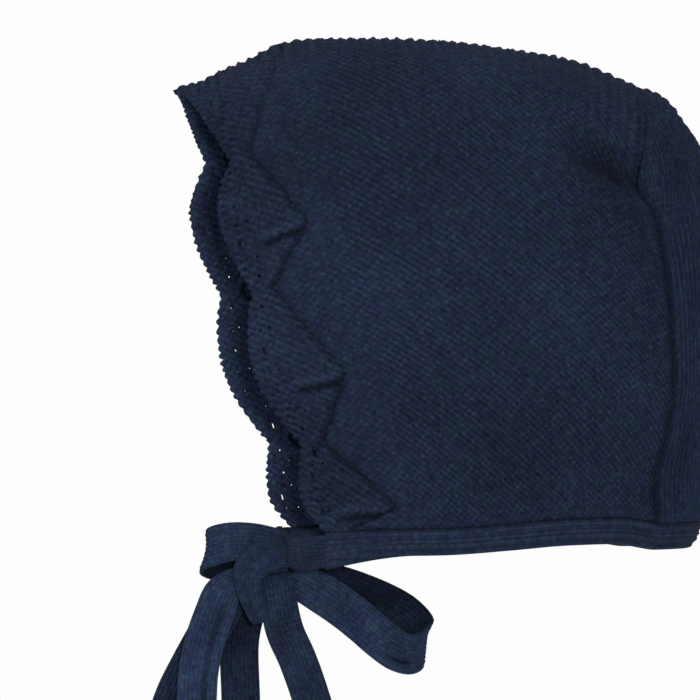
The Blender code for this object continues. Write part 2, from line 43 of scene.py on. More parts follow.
# Knit thicknesses, and the clearances that the ties' and band's places keep
WALL = 2.2 * MM
LACE_WALL = 2.0 * MM
BACK_WALL = 2.4 * MM
TIE_WALL = 2.0 * MM
BAND_GAP = 0.5 * MM
KNOT_GAP = 0.5 * MM

# Head-shaped shell, with the same sizes as its solid
CROWN_LENGTH = 128.6 * MM
FRONT_REACH = 61.4 * MM
CROWN_RISE = 0.7 * MM
SHELL_HEIGHT = 156.9 * MM
HALF_WIDTH = 57.5 * MM
EQUATOR_DROP = 83.0 * MM
BACK_BULGE = 24.0 * MM
HEAD_MIDDLE_DROP = 75.0 * MM
HEAD_LENGTH_WEIGHT = 0.5
BORDER_LOOK = 8.0 * MM
SECTION_SAMPLES = 40

# Sections from the border's base line (share 0) to the back seam (share 1): drop of the crown and of
# the neck edge in shares of the shell's height, half width in shares of the widest, squareness of
# the arch, narrowing at the neck
CROWN_DROP, NECK_DROP, HALF_SHARE, SQUARENESS, NARROWING = range(1, 6)
SECTIONS = np.array([
    (0.000, 0.047, 1.000, 0.713, 2.0, 0.00),
    (0.125, 0.000, 0.998, 0.780, 2.1, 0.04),
    (0.300, 0.001, 0.996, 0.920, 2.3, 0.10),
    (0.500, 0.005, 0.987, 1.000, 2.4, 0.14),
    (0.700, 0.025, 0.977, 0.975, 2.4, 0.15),
    (0.850, 0.047, 0.975, 0.870, 2.4, 0.14),
    (1.000, 0.094, 0.988, 0.678, 2.4, 0.13),
])

# Face edge and back seam: share of the arc from crown to neck, place in shares of the crown's length
SETBACK = 1
FACE_EDGE = np.array([
    (0.00, 0.000),
    (0.30, -0.011),
    (0.40, -0.001),
    (0.54, 0.038),
    (0.80, 0.150),
    (1.00, 0.221),
])
BACK_SEAM = np.array([
    (0.00, 1.000),
    (0.16, 0.990),
    (0.32, 0.969),
    (0.40, 1.004),
    (0.60, 1.040),
    (0.73, 1.047),
    (0.82, 1.032),
    (0.92, 1.003),
    (1.00, 1.012),
])

# Back panel's middle line: share of the way down, distance behind the seam in shares of the bulge,
# drop in shares of the shell's height
BULGE, DROP = range(1, 3)
BACK_LINE = np.array([
    (0.00, 0.00, 0.000),
    (0.06, 0.32, 0.022),
    (0.13, 0.60, 0.072),
    (0.21, 0.84, 0.133),
    (0.28, 0.93, 0.194),
    (0.43, 1.00, 0.337),
    (0.64, 1.00, 0.541),
    (0.81, 0.95, 0.704),
    (0.96, 0.87, 0.847),
    (1.00, 0.83, 0.893),
])

# Back panel's fullness, and the dent at the seam's corner
SEAM_CORNER = 0.32
BACK_FULLNESS = math.radians(62)
BACK_ARCH_FULLNESS = math.radians(84)
EDGE_LOOK_ACROSS = 0.02
EDGE_LOOK_DOWN = 0.012
DENT_DEPTH = 4.2 * MM
DENT_LENGTH = 15.0 * MM
DENT_WIDTH = 6.5 * MM
DENT_SETBACK = 8.0 * MM
DENT_SLANT = 0.35
DIMPLE_FADE = 9.0

# Lace border: reach of the scallops, depth of the leaves, and each leaf's upper valley, crest of
# its scallop, rib, lower valley, reach, depth and roundness
SCALLOP_REACH = 24.5 * MM
LEAF_DEPTH = 15.0 * MM
VALLEY_REACH = 6.5 * MM
LEAVES = (
    (0.275, 0.36, 0.445, 0.54, 0.50, 1.00, 1.6),
    (0.54, 0.69, 0.718, 0.83, 0.56, 0.87, 1.9),
    (0.83, 0.935, 0.96, 1.00, 0.46, 1.20, 1.6),
)
CROWN_LEAF_HALF = 0.275
CROWN_LEAF_ROUNDNESS = 1.1

# Neckband
BAND_HEIGHT = 7.6 * MM
BAND_FRONT_EXTRA = 4.0 * MM
BAND_FRONT_SHARE = 0.18
BAND_THICKNESS = 4.6 * MM
BAND_SQUARENESS = 0.7
BAND_LEAN = 0.55
BAND_LEAN_FADE = 3.0
LIP_HEIGHT = 1.5 * MM
NECK_SIDE_SHARE = 0.72
NECK_STEP = 0.004

# Ties and knot
TIE_WIDTH = 13.0 * MM
TIE_PINCH = 0.42
TIE_PINCH_LENGTH = 7.0 * MM
TIE_REACH = 40.0 * MM
TIE_LEAD = 4.0 * MM
TIE_TUCK = 1.6 * MM
TIE_TWIST = (90.0, 90.0, 92.0, 96.0, 102.0, 108.0, 112.0)
TIE_KNOT_SIDE = 0.3
TIE_KNOT_SETBACK = 5.0 * MM
TIE_KNOT_RISE = 6.5 * MM
KNOT_SIZE = (14.0 * MM, 19.0 * MM, 14.0 * MM)
KNOT_LOOK = (13.6 * MM, 21.0 * MM, 16.0 * MM)
KNOT_FORWARD = 52.3 * MM
KNOT_DROP = 165.8 * MM

# Way of a tie from its lead to the knot: share of the way, sag and set-back in shares of its reach
TIE_ROUTE = (
    (0.00, 0.00, 0.00),
    (0.25, 0.03, -0.05),
    (0.50, 0.03, -0.07),
    (0.75, 0.01, -0.04),
    (1.00, 0.00, 0.00),
)

# Bands of the bow: their lengths, and their routes from the knot's centre as back, up and sideways in
# shares of that length, with the lean of the width in degrees
RIGHT_LOOP = 50.0 * MM
LEFT_LOOP = 65.0 * MM
UPPER_LOOP = 22.0 * MM
FRONT_TAIL = 105.0 * MM
MIDDLE_TAIL = 98.0 * MM
RIGHT_LOOK = (
    (0.06, -0.03, 0.10, 75),
    (0.22, -0.11, 0.13, 70),
    (0.37, -0.20, 0.16, 62),
    (0.49, -0.285, 0.18, 54),
    (0.595, -0.37, 0.19, 50),
    (0.705, -0.465, 0.19, 54),
    (0.815, -0.54, 0.17, 66),
    (0.915, -0.56, 0.11, 78),
    (0.99, -0.52, 0.01, 84),
    (0.99, -0.43, -0.09, 78),
    (0.905, -0.32, -0.14, 66),
    (0.76, -0.235, -0.15, 62),
    (0.56, -0.155, -0.13, 66),
    (0.385, -0.105, -0.11, 70),
    (0.19, -0.06, -0.08, 75),
    (0.05, -0.02, -0.05, 78),
)
LEFT_ROUTE = (
    (-0.02, -0.04, 0.04, -56),
    (-0.14, -0.06, 0.06, -52),
    (-0.23, -0.12, 0.08, -46),
    (-0.28, -0.23, 0.10, -34),
    (-0.33, -0.37, 0.11, -22),
    (-0.36, -0.52, 0.11, -12),
    (-0.37, -0.68, 0.11, -6),
    (-0.38, -0.82, 0.09, -4),
    (-0.41, -0.91, 0.05, -4),
    (-0.45, -0.95, -0.02, -6),
    (-0.49, -0.90, -0.08, -10),
    (-0.49, -0.78, -0.10, -16),
    (-0.45, -0.64, -0.10, -24),
    (-0.37, -0.48, -0.10, -30),
    (-0.27, -0.30, -0.09, -36),
    (-0.19, -0.17, -0.07, -46),
    (-0.12, -0.08, -0.06, -54),
    (-0.02, -0.04, -0.05, -58),
)
UPPER_LOOK = (
    (0.20, 0.26, 0.37, 94),
    (-0.118, 0.345, 0.37, 92),
    (-0.353, 0.375, 0.33, 90),
    (-0.588, 0.365, 0.26, 88),
    (-0.793, 0.305, 0.14, 84),
    (-0.88, 0.235, 0.00, 80),
    (-0.85, 0.14, -0.16, 78),
    (-0.705, 0.073, -0.26, 80),
    (-0.441, 0.015, -0.30, 84),
    (-0.118, -0.03, -0.34, 88),
)
FRONT_LOOK = (
    (0.005, 0.01, 0.062, -6),
    (0.018, -0.09, 0.084, -2),
    (0.038, -0.19, 0.090, 6),
    (0.078, -0.28, 0.086, 14),
    (0.115, -0.38, 0.078, 17),
    (0.16, -0.53, 0.070, 12),
    (0.19, -0.71, 0.062, 4),
    (0.185, -1.00, 0.060, -3),
)
MIDDLE_ROUTE = (
    (0.00, -0.01, -0.085, 4),
    (-0.04, -0.10, -0.102, 3),
    (-0.08, -0.24, -0.100, 1),
    (-0.08, -0.44, -0.080, 0),
    (-0.08, -0.64, -0.065, -3),
    (-0.10, -0.82, -0.050, -6),
    (-0.13, -1.00, -0.045, -8),
)
ROUTE_STEP = 0.01
ROUTE_SAMPLES = 400

# Turn of the tie over the knot: back, up and sideways in shares of its reach
WRAP_REACH = 10.0 * MM
WRAP_ROUTE = (
    (1.75, 0.66, 0.55),
    (1.25, 0.70, 0.98),
    (0.62, 0.68, 1.10),
    (0.00, 0.56, 1.12),
    (-0.60, 0.24, 1.08),
    (-0.92, -0.30, 1.02),
    (-0.80, -1.00, 0.96),
    (-0.42, -1.80, 0.78),
)

# Slack of the worn knit, and how closely the knitted pieces meet
CROWN_SLACK = 2.2 * MM
CROWN_SLACK_SETBACK = 5.0 * MM
CROWN_SLACK_LENGTH = 11.0 * MM
TIP_CURL = 2.6 * MM
CLOSE_SEAM = 0.06 * MM
CLOSE_LEAF = 0.03 * MM
SEAM_TUCK = 0.30 * MM

# Knit: stitch sizes, how far stitches stand out, and the meshes' columns and rows
STITCH_WIDTH = 1.45 * MM
STITCH_HEIGHT = 1.55 * MM
SEED_START = 21.0 * MM
SEED_RELIEF = 0.30 * MM
PANEL_COLUMNS = 300
PLAIN_ROWS = 12
SEED_STITCHES = 72
LACE_PER_UNIT = 280
LACE_ROWS = 34
BORDER_ARC = 195.0 * MM
BACK_RIBS = 39
BACK_ROWS = 184

# Pitches, widths and lengths of the relief, in millimetres
PANEL_NECK_ARC = 215.0
WAVE_ARC = 210.0
BACK_HALF = 50.0
BACK_ROW = 0.8
SEAM_GROOVE = 1.9
LEAF_GROOVE = 1.6
LEAF_RIB = 1.5
RIB_GROOVE = 1.2
RIB_GROOVE_OFFSET = 2.8
CROWN_RIDGE = 3.6
SHORT_ROW = 3.5
PICOT_PITCH = 2.9
LACE_ROW_PITCH = 2.9
RAY_PITCH = 3.1
TIE_WALE = 1.45
TIE_ROW = 1.25

# Counts: wales of a band, points across a wale, steps of the wrap, levels of a wall's thickness
TIE_WALES = 9
WALE_POINTS = 4
WRAP_STEPS = 48
WRAP_CROSS = 32
WALL_LEVELS = 20
SEED_BACK_SHARE = 0.085
FULL_TURN = 6.2832

# Camera, floor and lights
FRAME_MIDDLE = (-0.0259, -0.0966)
FRAME_WIDTH = 0.224
CAMERA_DISTANCE = 3.2
FLOOR_HEIGHT = -0.285
KEY_ENERGY = 60.0
FILL_ENERGY = 9.0

# Yarn colours: one navy yarn, and lighter copies of it for the lace, back panel, band and ties, as painted
# light on those pieces
NAVY = (0.0060, 0.0096, 0.0214, 1.0)
NAVY_LACE_LIT = (0.0070, 0.0108, 0.0233, 1.0)
NAVY_RIB_LIT = (0.0080, 0.0126, 0.0290, 1.0)
NAVY_BAND_LIT = (0.0084, 0.0134, 0.0284, 1.0)
NAVY_TIE_LIT = (0.0092, 0.0148, 0.0315, 1.0)


def level_slopes(stations, values):
    """Slopes that keep a curve between its points."""
    secants = np.diff(values) / np.diff(stations)
    same = secants[:-1] * secants[1:] > 0
    total = np.where(same, secants[:-1] + secants[1:], 1.0)
    middle = np.where(same, 2 * secants[:-1] * secants[1:] / total, 0.0)
    return np.concatenate((secants[:1], middle, secants[-1:]))


def plain_slopes(stations, values):
    """Slopes of a route, which may swing past its points."""
    return np.gradient(values, stations)


def curve_through(rows, share, column, slope_rule=level_slopes):
    """Smooth curve through one column of a table whose first column is the share."""
    stations = rows[:, 0]
    values = rows[:, column]
    slopes = slope_rule(stations, values)
    low = np.clip(np.searchsorted(stations, share, side="right") - 1, 0, len(stations) - 2)
    step = stations[low + 1] - stations[low]
    p = np.clip((share - stations[low]) / step, 0.0, 1.0)
    start = (2 * p ** 3 - 3 * p ** 2 + 1) * values[low] + (p ** 3 - 2 * p ** 2 + p) * step * slopes[low]
    end = (3 * p ** 2 - 2 * p ** 3) * values[low + 1] + (p ** 3 - p ** 2) * step * slopes[low + 1]
    return start + end


def curve_points(table, share):
    """Points of a smooth route whose table holds the share and then x, y and z."""
    return np.stack([curve_through(table, share, axis, plain_slopes) for axis in (1, 2, 3)], axis=1)


def unit(vectors):
    """The vectors at length 1."""
    return vectors / np.linalg.norm(vectors, axis=1, keepdims=True)


def bell(value, width):
    """1 at value 0, falling smoothly to both sides."""
    return np.exp(-(value / width) ** 2)


def grid_numbers(columns, rows):
    """Column and row numbers of a grid's points."""
    return np.meshgrid(np.arange(columns + 1), np.arange(rows + 1), indexing="ij")


def read_values(data, label, size=1, kind=float):
    """One property of every item in a mesh's list."""
    values = np.empty(len(data) * size, dtype=kind)
    data.foreach_get(label, values)
    return values.reshape(-1, size) if size > 1 else values


def grid_places(mesh):
    """Column and row of every point of a knitted grid."""
    return [read_values(mesh.attributes[label].data, "value", kind=int) for label in ("column", "row")]


def forget_grid(mesh):
    """Remove the marks that knit_grid left on the points."""
    for label in ("column", "row"):
        mesh.attributes.remove(mesh.attributes[label])


def section_point(depth_share, arc_share):
    """Half width and height of the U-shaped section, at an arc share from crown to neck."""
    top = WALL + CROWN_RISE
    crown = (top - SHELL_HEIGHT * curve_through(SECTIONS, depth_share, CROWN_DROP))[:, None]
    neck = (top - SHELL_HEIGHT * curve_through(SECTIONS, depth_share, NECK_DROP))[:, None]
    half = (HALF_WIDTH * curve_through(SECTIONS, depth_share, HALF_SHARE))[:, None]
    power = (2.0 / curve_through(SECTIONS, depth_share, SQUARENESS))[:, None]
    narrowing = curve_through(SECTIONS, depth_share, NARROWING)[:, None]
    equator = top - EQUATOR_DROP
    turn = np.linspace(0.0, math.pi / 2, SECTION_SAMPLES)[None, :]
    fall = np.linspace(0.0, 1.0, SECTION_SAMPLES)[None, 1:]
    arch_x = half * np.sin(turn) ** power
    arch_z = equator + (crown - equator) * np.clip(np.cos(turn), 0.0, 1.0) ** power
    side_x = half * (1.0 - narrowing * fall ** 2)
    side_z = equator + (neck - equator) * fall
    x = np.hstack((arch_x, side_x))
    z = np.hstack((arch_z, side_z))
    steps = np.hypot(np.diff(x, axis=1), np.diff(z, axis=1))
    travel = np.hstack((np.zeros((len(x), 1)), np.cumsum(steps, axis=1)))
    target = arc_share * travel[:, -1]
    after = np.clip((travel < target[:, None]).sum(axis=1), 1, x.shape[1] - 1)
    row = np.arange(len(x))
    gap = travel[row, after] - travel[row, after - 1]
    part = (target - travel[row, after - 1]) / gap
    return (x[row, after - 1] + part * (x[row, after] - x[row, after - 1]),
            z[row, after - 1] + part * (z[row, after] - z[row, after - 1]))


def shell_length(arc_share):
    """Length of the panel from the border's base line to the back seam at an arc share."""
    seam = curve_through(BACK_SEAM, arc_share, SETBACK)
    return CROWN_LENGTH * (seam - curve_through(FACE_EDGE, arc_share, SETBACK))


def smooth_shell(arc, setback):
    """Outer surface: arc -1 to 1 from one neck edge over the crown to the other."""
    arc_share = np.abs(arc)
    length = shell_length(arc_share)
    depth = np.clip(setback / length, 0.0, 1.0)
    half, z = section_point(depth, arc_share)
    start = CROWN_LENGTH * curve_through(FACE_EDGE, arc_share, SETBACK) - FRONT_REACH
    y = start + depth * length
    return np.stack((np.where(arc < 0, -half, half), y, z), axis=1)


def towards_head(points):
    """Unit vectors from the surface to the middle of the head."""
    middle = np.array((0.0, 0.0, -HEAD_MIDDLE_DROP))
    inward = middle - points
    inward[:, 1] *= HEAD_LENGTH_WEIGHT
    return unit(inward)


def dent(arc_share, ahead_of_seam):
    """Depth of the dent at the seam's corner."""
    along = (ahead_of_seam - DENT_SETBACK) / DENT_LENGTH
    across = (arc_share - SEAM_CORNER) * SHELL_HEIGHT / DENT_WIDTH
    return DENT_DEPTH * np.exp(-along ** 2 - (across - DENT_SLANT * along) ** 2)


def shell(arc, setback):
    """Shell surface with its dent, carried on past the base line for the border."""
    points = smooth_shell(arc, setback)
    arc_share = np.abs(arc)
    depth = dent(arc_share, shell_length(arc_share) - setback)
    points = points + towards_head(points) * depth[:, None]
    behind = smooth_shell(arc, np.full_like(arc, BORDER_LOOK))
    ahead = unit(smooth_shell(arc, np.zeros_like(arc)) - behind)
    return points + ahead * np.clip(-setback, 0.0, None)[:, None]


def back_surface(across, down):
    """Back panel: across -1 to 1 between the seams, down 0 to 1 from the crown to the neck."""
    def seam_side(share):
        arc = SEAM_CORNER + (1.0 - SEAM_CORNER) * share
        return smooth_shell(arc, shell_length(arc))

    def plain_row(across, down):
        side = seam_side(down)
        top = smooth_shell(np.zeros_like(down), shell_length(np.zeros_like(down)))
        middle = top.copy()
        middle[:, 1] += BACK_BULGE * curve_through(BACK_LINE, down, BULGE)
        middle[:, 2] -= SHELL_HEIGHT * curve_through(BACK_LINE, down, DROP)
        fullness = BACK_FULLNESS + (BACK_ARCH_FULLNESS - BACK_FULLNESS) * (1.0 - down) ** 3
        turn = across * fullness
        rise = (np.cos(turn) - np.cos(fullness)) / (1.0 - np.cos(fullness))
        points = np.empty_like(side)
        points[:, 0] = side[:, 0] * np.sin(turn) / np.sin(fullness)
        points[:, 1] = side[:, 1] + (middle[:, 1] - side[:, 1]) * rise
        points[:, 2] = side[:, 2] + (middle[:, 2] - side[:, 2]) * rise
        return points

    arch_arc = across * SEAM_CORNER
    arch = smooth_shell(arch_arc, shell_length(np.abs(arch_arc)))
    arch_error = arch - plain_row(across, np.zeros_like(down))
    return plain_row(across, down) + arch_error * ((1.0 - down) ** 3)[:, None]


def leaf_rows():
    """All leaves from the far neck edge to the near one, as in the table."""
    far = [(-high, -crest, -rib, -low, *rest) for low, crest, rib, high, *rest in reversed(LEAVES)]
    crown = (-CROWN_LEAF_HALF, 0.0, 0.0, CROWN_LEAF_HALF, 1.0, 1.0, CROWN_LEAF_ROUNDNESS)
    return far + [crown] + list(LEAVES)


def leaf_outline(arc):
    """Depth of the leaf's inner edge and reach of its scallop at each arc position."""
    inner = np.zeros_like(arc)
    outer = np.full_like(arc, VALLEY_REACH)
    for low, crest, rib, high, reach, depth, roundness in leaf_rows():
        inside = (arc >= low) & (arc <= high)
        off_rib = np.where(arc < rib, (rib - arc) / (rib - low), (arc - rib) / (high - rib))
        away = np.where(arc < crest, (crest - arc) / (crest - low), (arc - crest) / (high - crest))
        off_rib = np.clip(off_rib, 0.0, 1.0)
        away = np.clip(away, 0.0, 1.0)
        inner = np.where(inside, LEAF_DEPTH * depth * (1.0 - off_rib), inner)
        swell = (SCALLOP_REACH * reach - VALLEY_REACH) * (1.0 - away ** roundness)
        outer = np.where(inside, VALLEY_REACH + swell, outer)
    return inner, outer


def neck_line(share):
    """Lower edge of the wall from the near front end (share 0) round the back to the far one."""
    near = np.abs(share - 0.5) * 2.0
    side = np.where(share < 0.5, 1.0, -1.0)
    ones = np.ones_like(near)
    front = -leaf_outline(ones)[1]
    side_length = shell_length(ones)
    back_share = 1.0 - NECK_SIDE_SHARE
    along = np.clip((near - back_share) / NECK_SIDE_SHARE, 0.0, 1.0)
    on_side = shell(side * ones, side_length + (front - side_length) * along)
    on_back = back_surface(side * np.clip(near / back_share, 0.0, 1.0), ones)
    return np.where((near > back_share)[:, None], on_side, on_back)


def neck_frame(share):
    """Points of the neck edge, with the level directions outward across it."""
    ahead = neck_line(np.clip(share + NECK_STEP, 0.0, 1.0))
    before = neck_line(np.clip(share - NECK_STEP, 0.0, 1.0))
    along = ahead - before
    return neck_line(share), unit(np.stack((along[:, 1], -along[:, 0], np.zeros(len(along))), axis=1))


def band_height(share):
    """Height of the binding, taller at its front ends."""
    near_end = np.abs(share - 0.5) * 2.0
    rise = np.clip((near_end - 1.0) / BAND_FRONT_SHARE + 1.0, 0.0, 1.0)
    return BAND_HEIGHT + BAND_FRONT_EXTRA * rise ** 1.5


def knot_centre():
    """Centre of the knot, under the chin in the middle plane."""
    return np.array((0.0, -KNOT_FORWARD, -KNOT_DROP))


def clear_of_knot(points):
    """True where every point across the band lies outside the knot."""
    reach = np.array(KNOT_SIZE) / 2 + KNOT_GAP
    apart = (points - knot_centre()) / reach
    return (apart ** 2).sum(axis=2).min(axis=1) > 1.0


def band_along(route, angles, band_width, steps, cross, pinched=TIE_PINCH):
    """Rows of points across a band that follows a smooth route, kept outside the knot."""
    stations = np.linspace(0.0, 1.0, len(route))
    table = np.column_stack((stations, route, angles))

    def point_at(share):
        return curve_points(table, np.clip(share, 0.0, 1.0))

    def rows_at(share, spread):
        middle = point_at(share)
        along = unit(point_at(share + ROUTE_STEP) - point_at(share - ROUTE_STEP))
        lean = np.radians(curve_through(table, share, 4))
        width = np.stack((np.zeros_like(lean), np.cos(lean), np.sin(lean)), axis=1)
        width = unit(width - along * (width * along).sum(axis=1, keepdims=True))
        away = np.linalg.norm(middle - knot_centre(), axis=1) - KNOT_SIZE[1] / 2
        pinch = bell(np.clip(away, 0.0, None), TIE_PINCH_LENGTH)
        gathered = band_width * (1.0 - pinched * pinch)
        return middle[:, None, :] + width[:, None, :] * gathered[:, None, None] * spread[None, :, None]

    fine = np.linspace(0.0, 1.0, ROUTE_SAMPLES)
    clear = np.nonzero(clear_of_knot(rows_at(fine, np.linspace(-0.5, 0.5, 5))))[0]
    share = np.linspace(fine[clear[0]], fine[clear[-1]], steps + 1)
    return rows_at(share, np.linspace(-0.5, 0.5, cross + 1))


def from_knot(rows, length):
    """Points of a route table in the part's frame."""
    return knot_centre() + np.stack((rows[:, 2], rows[:, 0], rows[:, 1]), axis=1) * length


def bow_route(table, length):
    """A bow table's points in the part's frame, and its angles."""
    rows = np.array(table)
    return from_knot(rows, length), rows[:, 3]


def tie_route(side):
    """The way of a tie from the neckband's front end to the knot's side."""
    share = np.array([0.0 if side > 0 else 1.0])
    edge, outward = neck_frame(share)
    start = edge[0] - outward[0] * WALL / 2
    start[2] -= BAND_GAP + band_height(share)[0] / 2
    forward = np.array((outward[0][1], -outward[0][0], 0.0)) * side
    start = start - forward * TIE_TUCK
    lead = start + forward * TIE_LEAD
    sideways = side * KNOT_SIZE[0] * TIE_KNOT_SIDE
    end = knot_centre() + np.array((sideways, TIE_KNOT_SETBACK, TIE_KNOT_RISE))
    rows = [start]
    for share, sag, setback in TIE_ROUTE:
        rows.append(lead + (end - lead) * share + np.array((0.0, setback, -sag)) * TIE_REACH)
    return rows, [90.0] * len(rows)


def smoothstep(low, high, value):
    """0 below low, 1 above high and smooth between."""
    t = np.clip((value - low) / (high - low), 0.0, 1.0)
    return t * t * (3.0 - 2.0 * t)


def outward_normals(points):
    """Unit normals of a grid of points, across its columns and rows."""
    along = np.gradient(points, axis=0)
    down = np.gradient(points, axis=1)
    normals = np.cross(along, down)
    return normals / np.maximum(np.linalg.norm(normals, axis=2, keepdims=True), 1e-12)


def uneven(seed, columns, rows, spread):
    """Hand-made difference from stitch to stitch, about 1."""
    chance = np.random.default_rng(seed)
    return 1.0 + spread * chance.uniform(-1.0, 1.0, (columns, rows))


def soft_waves(arc, setback, size):
    """Slow hand-made unevenness of a knitted surface."""
    u = arc * WAVE_ARC
    v = setback / MM
    waves = np.sin(u / 17.0 + 0.9 * np.sin(v / 23.0))
    waves = waves + 0.7 * np.sin(v / 13.0 + 1.3 * np.sin(u / 31.0) + 1.0)
    waves += 0.5 * np.sin((u + v) / 9.0 + 2.1) + 0.4 * np.sin((u - 1.4 * v) / 11.0 + 0.4)
    return waves / 2.6 * size


def knit_grid(name, points, stitches, keep_face=None):
    """Mesh of a knitted surface from a grid primitive; its UV map counts stitches."""
    columns, rows = points.shape[0] - 1, points.shape[1] - 1
    bpy.ops.object.select_all(action="DESELECT")
    bpy.ops.mesh.primitive_grid_add(x_subdivisions=columns, y_subdivisions=rows, size=1.0)
    piece = bpy.context.object
    piece.name = name
    mesh = piece.data
    mesh.name = name
    flat = read_values(mesh.vertices, "co", 3)
    column = np.rint((flat[:, 0] + 0.5) * columns).astype(int)
    row = np.rint((flat[:, 1] + 0.5) * rows).astype(int)
    mesh.vertices.foreach_set("co", points[column, row].ravel())
    for label, values in (("column", column), ("row", row)):
        place = mesh.attributes.new(label, "INT", "POINT")
        place.data.foreach_set("value", values)
    corners = read_values(mesh.loops, "vertex_index", kind=int)
    uv = stitches[column, row][corners]
    mesh.uv_layers.active.data.foreach_set("uv", uv.ravel())
    if keep_face is not None:
        faces = read_values(mesh.polygons, "vertices", 4, int)
        face_column = column[faces].min(axis=1)
        face_row = row[faces].min(axis=1)
        gone = ~keep_face[face_column, face_row]
        mesh.polygons.foreach_set("select", gone)
        mesh.vertices.foreach_set("select", np.zeros(len(mesh.vertices), dtype=bool))
        mesh.edges.foreach_set("select", np.zeros(len(mesh.edges), dtype=bool))
        bpy.ops.object.mode_set(mode="EDIT")
        bpy.ops.mesh.select_mode(type="FACE")
        bpy.ops.mesh.delete(type="ONLY_FACE")
        bpy.ops.mesh.select_all(action="SELECT")
        bpy.ops.mesh.delete_loose()
        bpy.ops.object.mode_set(mode="OBJECT")
    mesh.update()
    return piece


def give_wall(piece, thickness, offset, edge_share, fullness):
    """Solidify the knit, thinner at its open edges, as a knitted edge rolls."""
    column, row = grid_places(piece.data)
    share = edge_share + (1.0 - edge_share) * np.sqrt(1.0 - (1.0 - np.clip(fullness, 0.0, 1.0)) ** 2)
    share = np.rint(share[column, row] * WALL_LEVELS).astype(int)
    group = piece.vertex_groups.new(name="fullness")
    for level in np.unique(share):
        group.add(np.nonzero(share == level)[0].tolist(), level / WALL_LEVELS, "REPLACE")
    wall = piece.modifiers.new("Knit wall", "SOLIDIFY")
    wall.thickness = thickness
    wall.offset = offset
    wall.vertex_group = "fullness"
    bpy.context.view_layer.objects.active = piece
    bpy.ops.object.modifier_apply(modifier=wall.name)
    piece.vertex_groups.clear()


def mark_painted_shading(piece, depth):
    """Keep painted shading for each point: above 0 it darkens the yarn as painted shade, below 0 it lightens it
    as painted light.
    """
    painted_shading = piece.data.attributes.new("painted_shading", "FLOAT", "POINT")
    painted_shading.data.foreach_set("value", np.clip(depth / MM, -1.0, 1.0))


def add_relief(piece, points, outer, inner, way=1.0, shade=(0.0, 0.0)):
    """Stand the stitches out from both faces of a wall: outer and inner are heights on its grid.

    way is -1 where the grid's own normals point inward; shade is painted shade on the two faces, and painted
    light where it is below 0.
    """
    mesh = piece.data
    count = len(mesh.vertices)
    column, row = grid_places(mesh)
    forget_grid(mesh)
    outside = np.arange(count) < count // 2
    height = np.where(outside, outer[column, row], -inner[column, row])
    # Painted shade in the relief's hollows and painted light on its tops, plus each face's painted shade
    tone = [np.broadcast_to(value, outer.shape)[column, row] * MM for value in shade]
    mark_painted_shading(piece, np.where(outside, tone[0] - outer[column, row], tone[1] - inner[column, row]))
    normals = outward_normals(points)[column, row]
    moved = read_values(mesh.vertices, "co", 3) + way * normals * height[:, None]
    mesh.vertices.foreach_set("co", moved.ravel())
    mesh.update()


def finish_piece(piece, material, node):
    """Material, smooth shading and what the piece stands for."""
    piece.data.materials.clear()
    piece.data.materials.append(material)
    piece.data.shade_smooth()
    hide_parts(node)
    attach(piece, "root")
    return piece


def leaf_edge(arc):
    """Inner edge of the leaves, with the unevenness of the knitting and a rounded point."""
    inner, _ = leaf_outline(arc)
    before, _ = leaf_outline(np.clip(arc - 0.006, -1.0, 1.0))
    after, _ = leaf_outline(np.clip(arc + 0.006, -1.0, 1.0))
    return (2 * inner + before + after) / 4 + 0.35 * MM * np.sin(arc * 97.0) * np.sin(arc * 41.0 + 1.0)


def leaf_groove(arc):
    """Depth of the groove beside the leaves: deeper below each rib than above it."""
    depth = np.full_like(arc, 0.40 * MM)
    for low, _, rib, high, *_ in leaf_rows():
        below = (arc >= rib) & (arc <= high) if rib > 0 else (arc >= low) & (arc <= rib)
        depth = np.where(below & (rib != 0.0), 0.75 * MM, depth)
    return depth


def leaf_columns(per_unit):
    """Arc positions of the columns, with one on each rib and each valley of the border."""
    columns = []
    for low, _, rib, high, *_ in leaf_rows():
        for start, end in ((low, rib), (rib, high)):
            columns += list(np.linspace(start, end, max(2, round((end - start) * per_unit)), endpoint=False))
    return np.array(columns + [1.0])


def surface_of(place, columns, rows):
    """Points of place(column, row) as an array across columns and rows."""
    column, row = grid_numbers(columns, rows)
    points = place(column.ravel(), row.ravel())
    return points.reshape(columns + 1, rows + 1, 3)


def maths(tree, operation, *values):
    """Math node; values are numbers or sockets."""
    node = tree.nodes.new("ShaderNodeMath")
    node.operation = operation
    for place, value in enumerate(values):
        if isinstance(value, (int, float)):
            node.inputs[place].default_value = value
        else:
            tree.links.new(value, node.inputs[place])
    return node.outputs[0]


def new_group(name, inputs, outputs):
    """Shader group with named sockets: (name, socket type, default)."""
    tree = bpy.data.node_groups.new(name, "ShaderNodeTree")
    for label, kind, value in inputs:
        socket = tree.interface.new_socket(label, in_out="INPUT", socket_type=kind)
        if value is not None:
            socket.default_value = value
    for label, kind in outputs:
        tree.interface.new_socket(label, in_out="OUTPUT", socket_type=kind)
    return tree, tree.nodes.new("NodeGroupInput"), tree.nodes.new("NodeGroupOutput")


def split_stitches(tree, source):
    """Wale and row count of the stitch map."""
    node = tree.nodes.new("ShaderNodeSeparateXYZ")
    tree.links.new(source, node.inputs[0])
    return node.outputs[0], node.outputs[1]


def stitch_chance(tree, across, along):
    """A value of its own for each stitch."""
    place = tree.nodes.new("ShaderNodeCombineXYZ")
    tree.links.new(maths(tree, "FLOOR", across), place.inputs[0])
    tree.links.new(maths(tree, "FLOOR", along), place.inputs[1])
    chance = tree.nodes.new("ShaderNodeTexWhiteNoise")
    chance.noise_dimensions = "2D"
    tree.links.new(place.outputs[0], chance.inputs["Vector"])
    return chance.outputs["Value"]


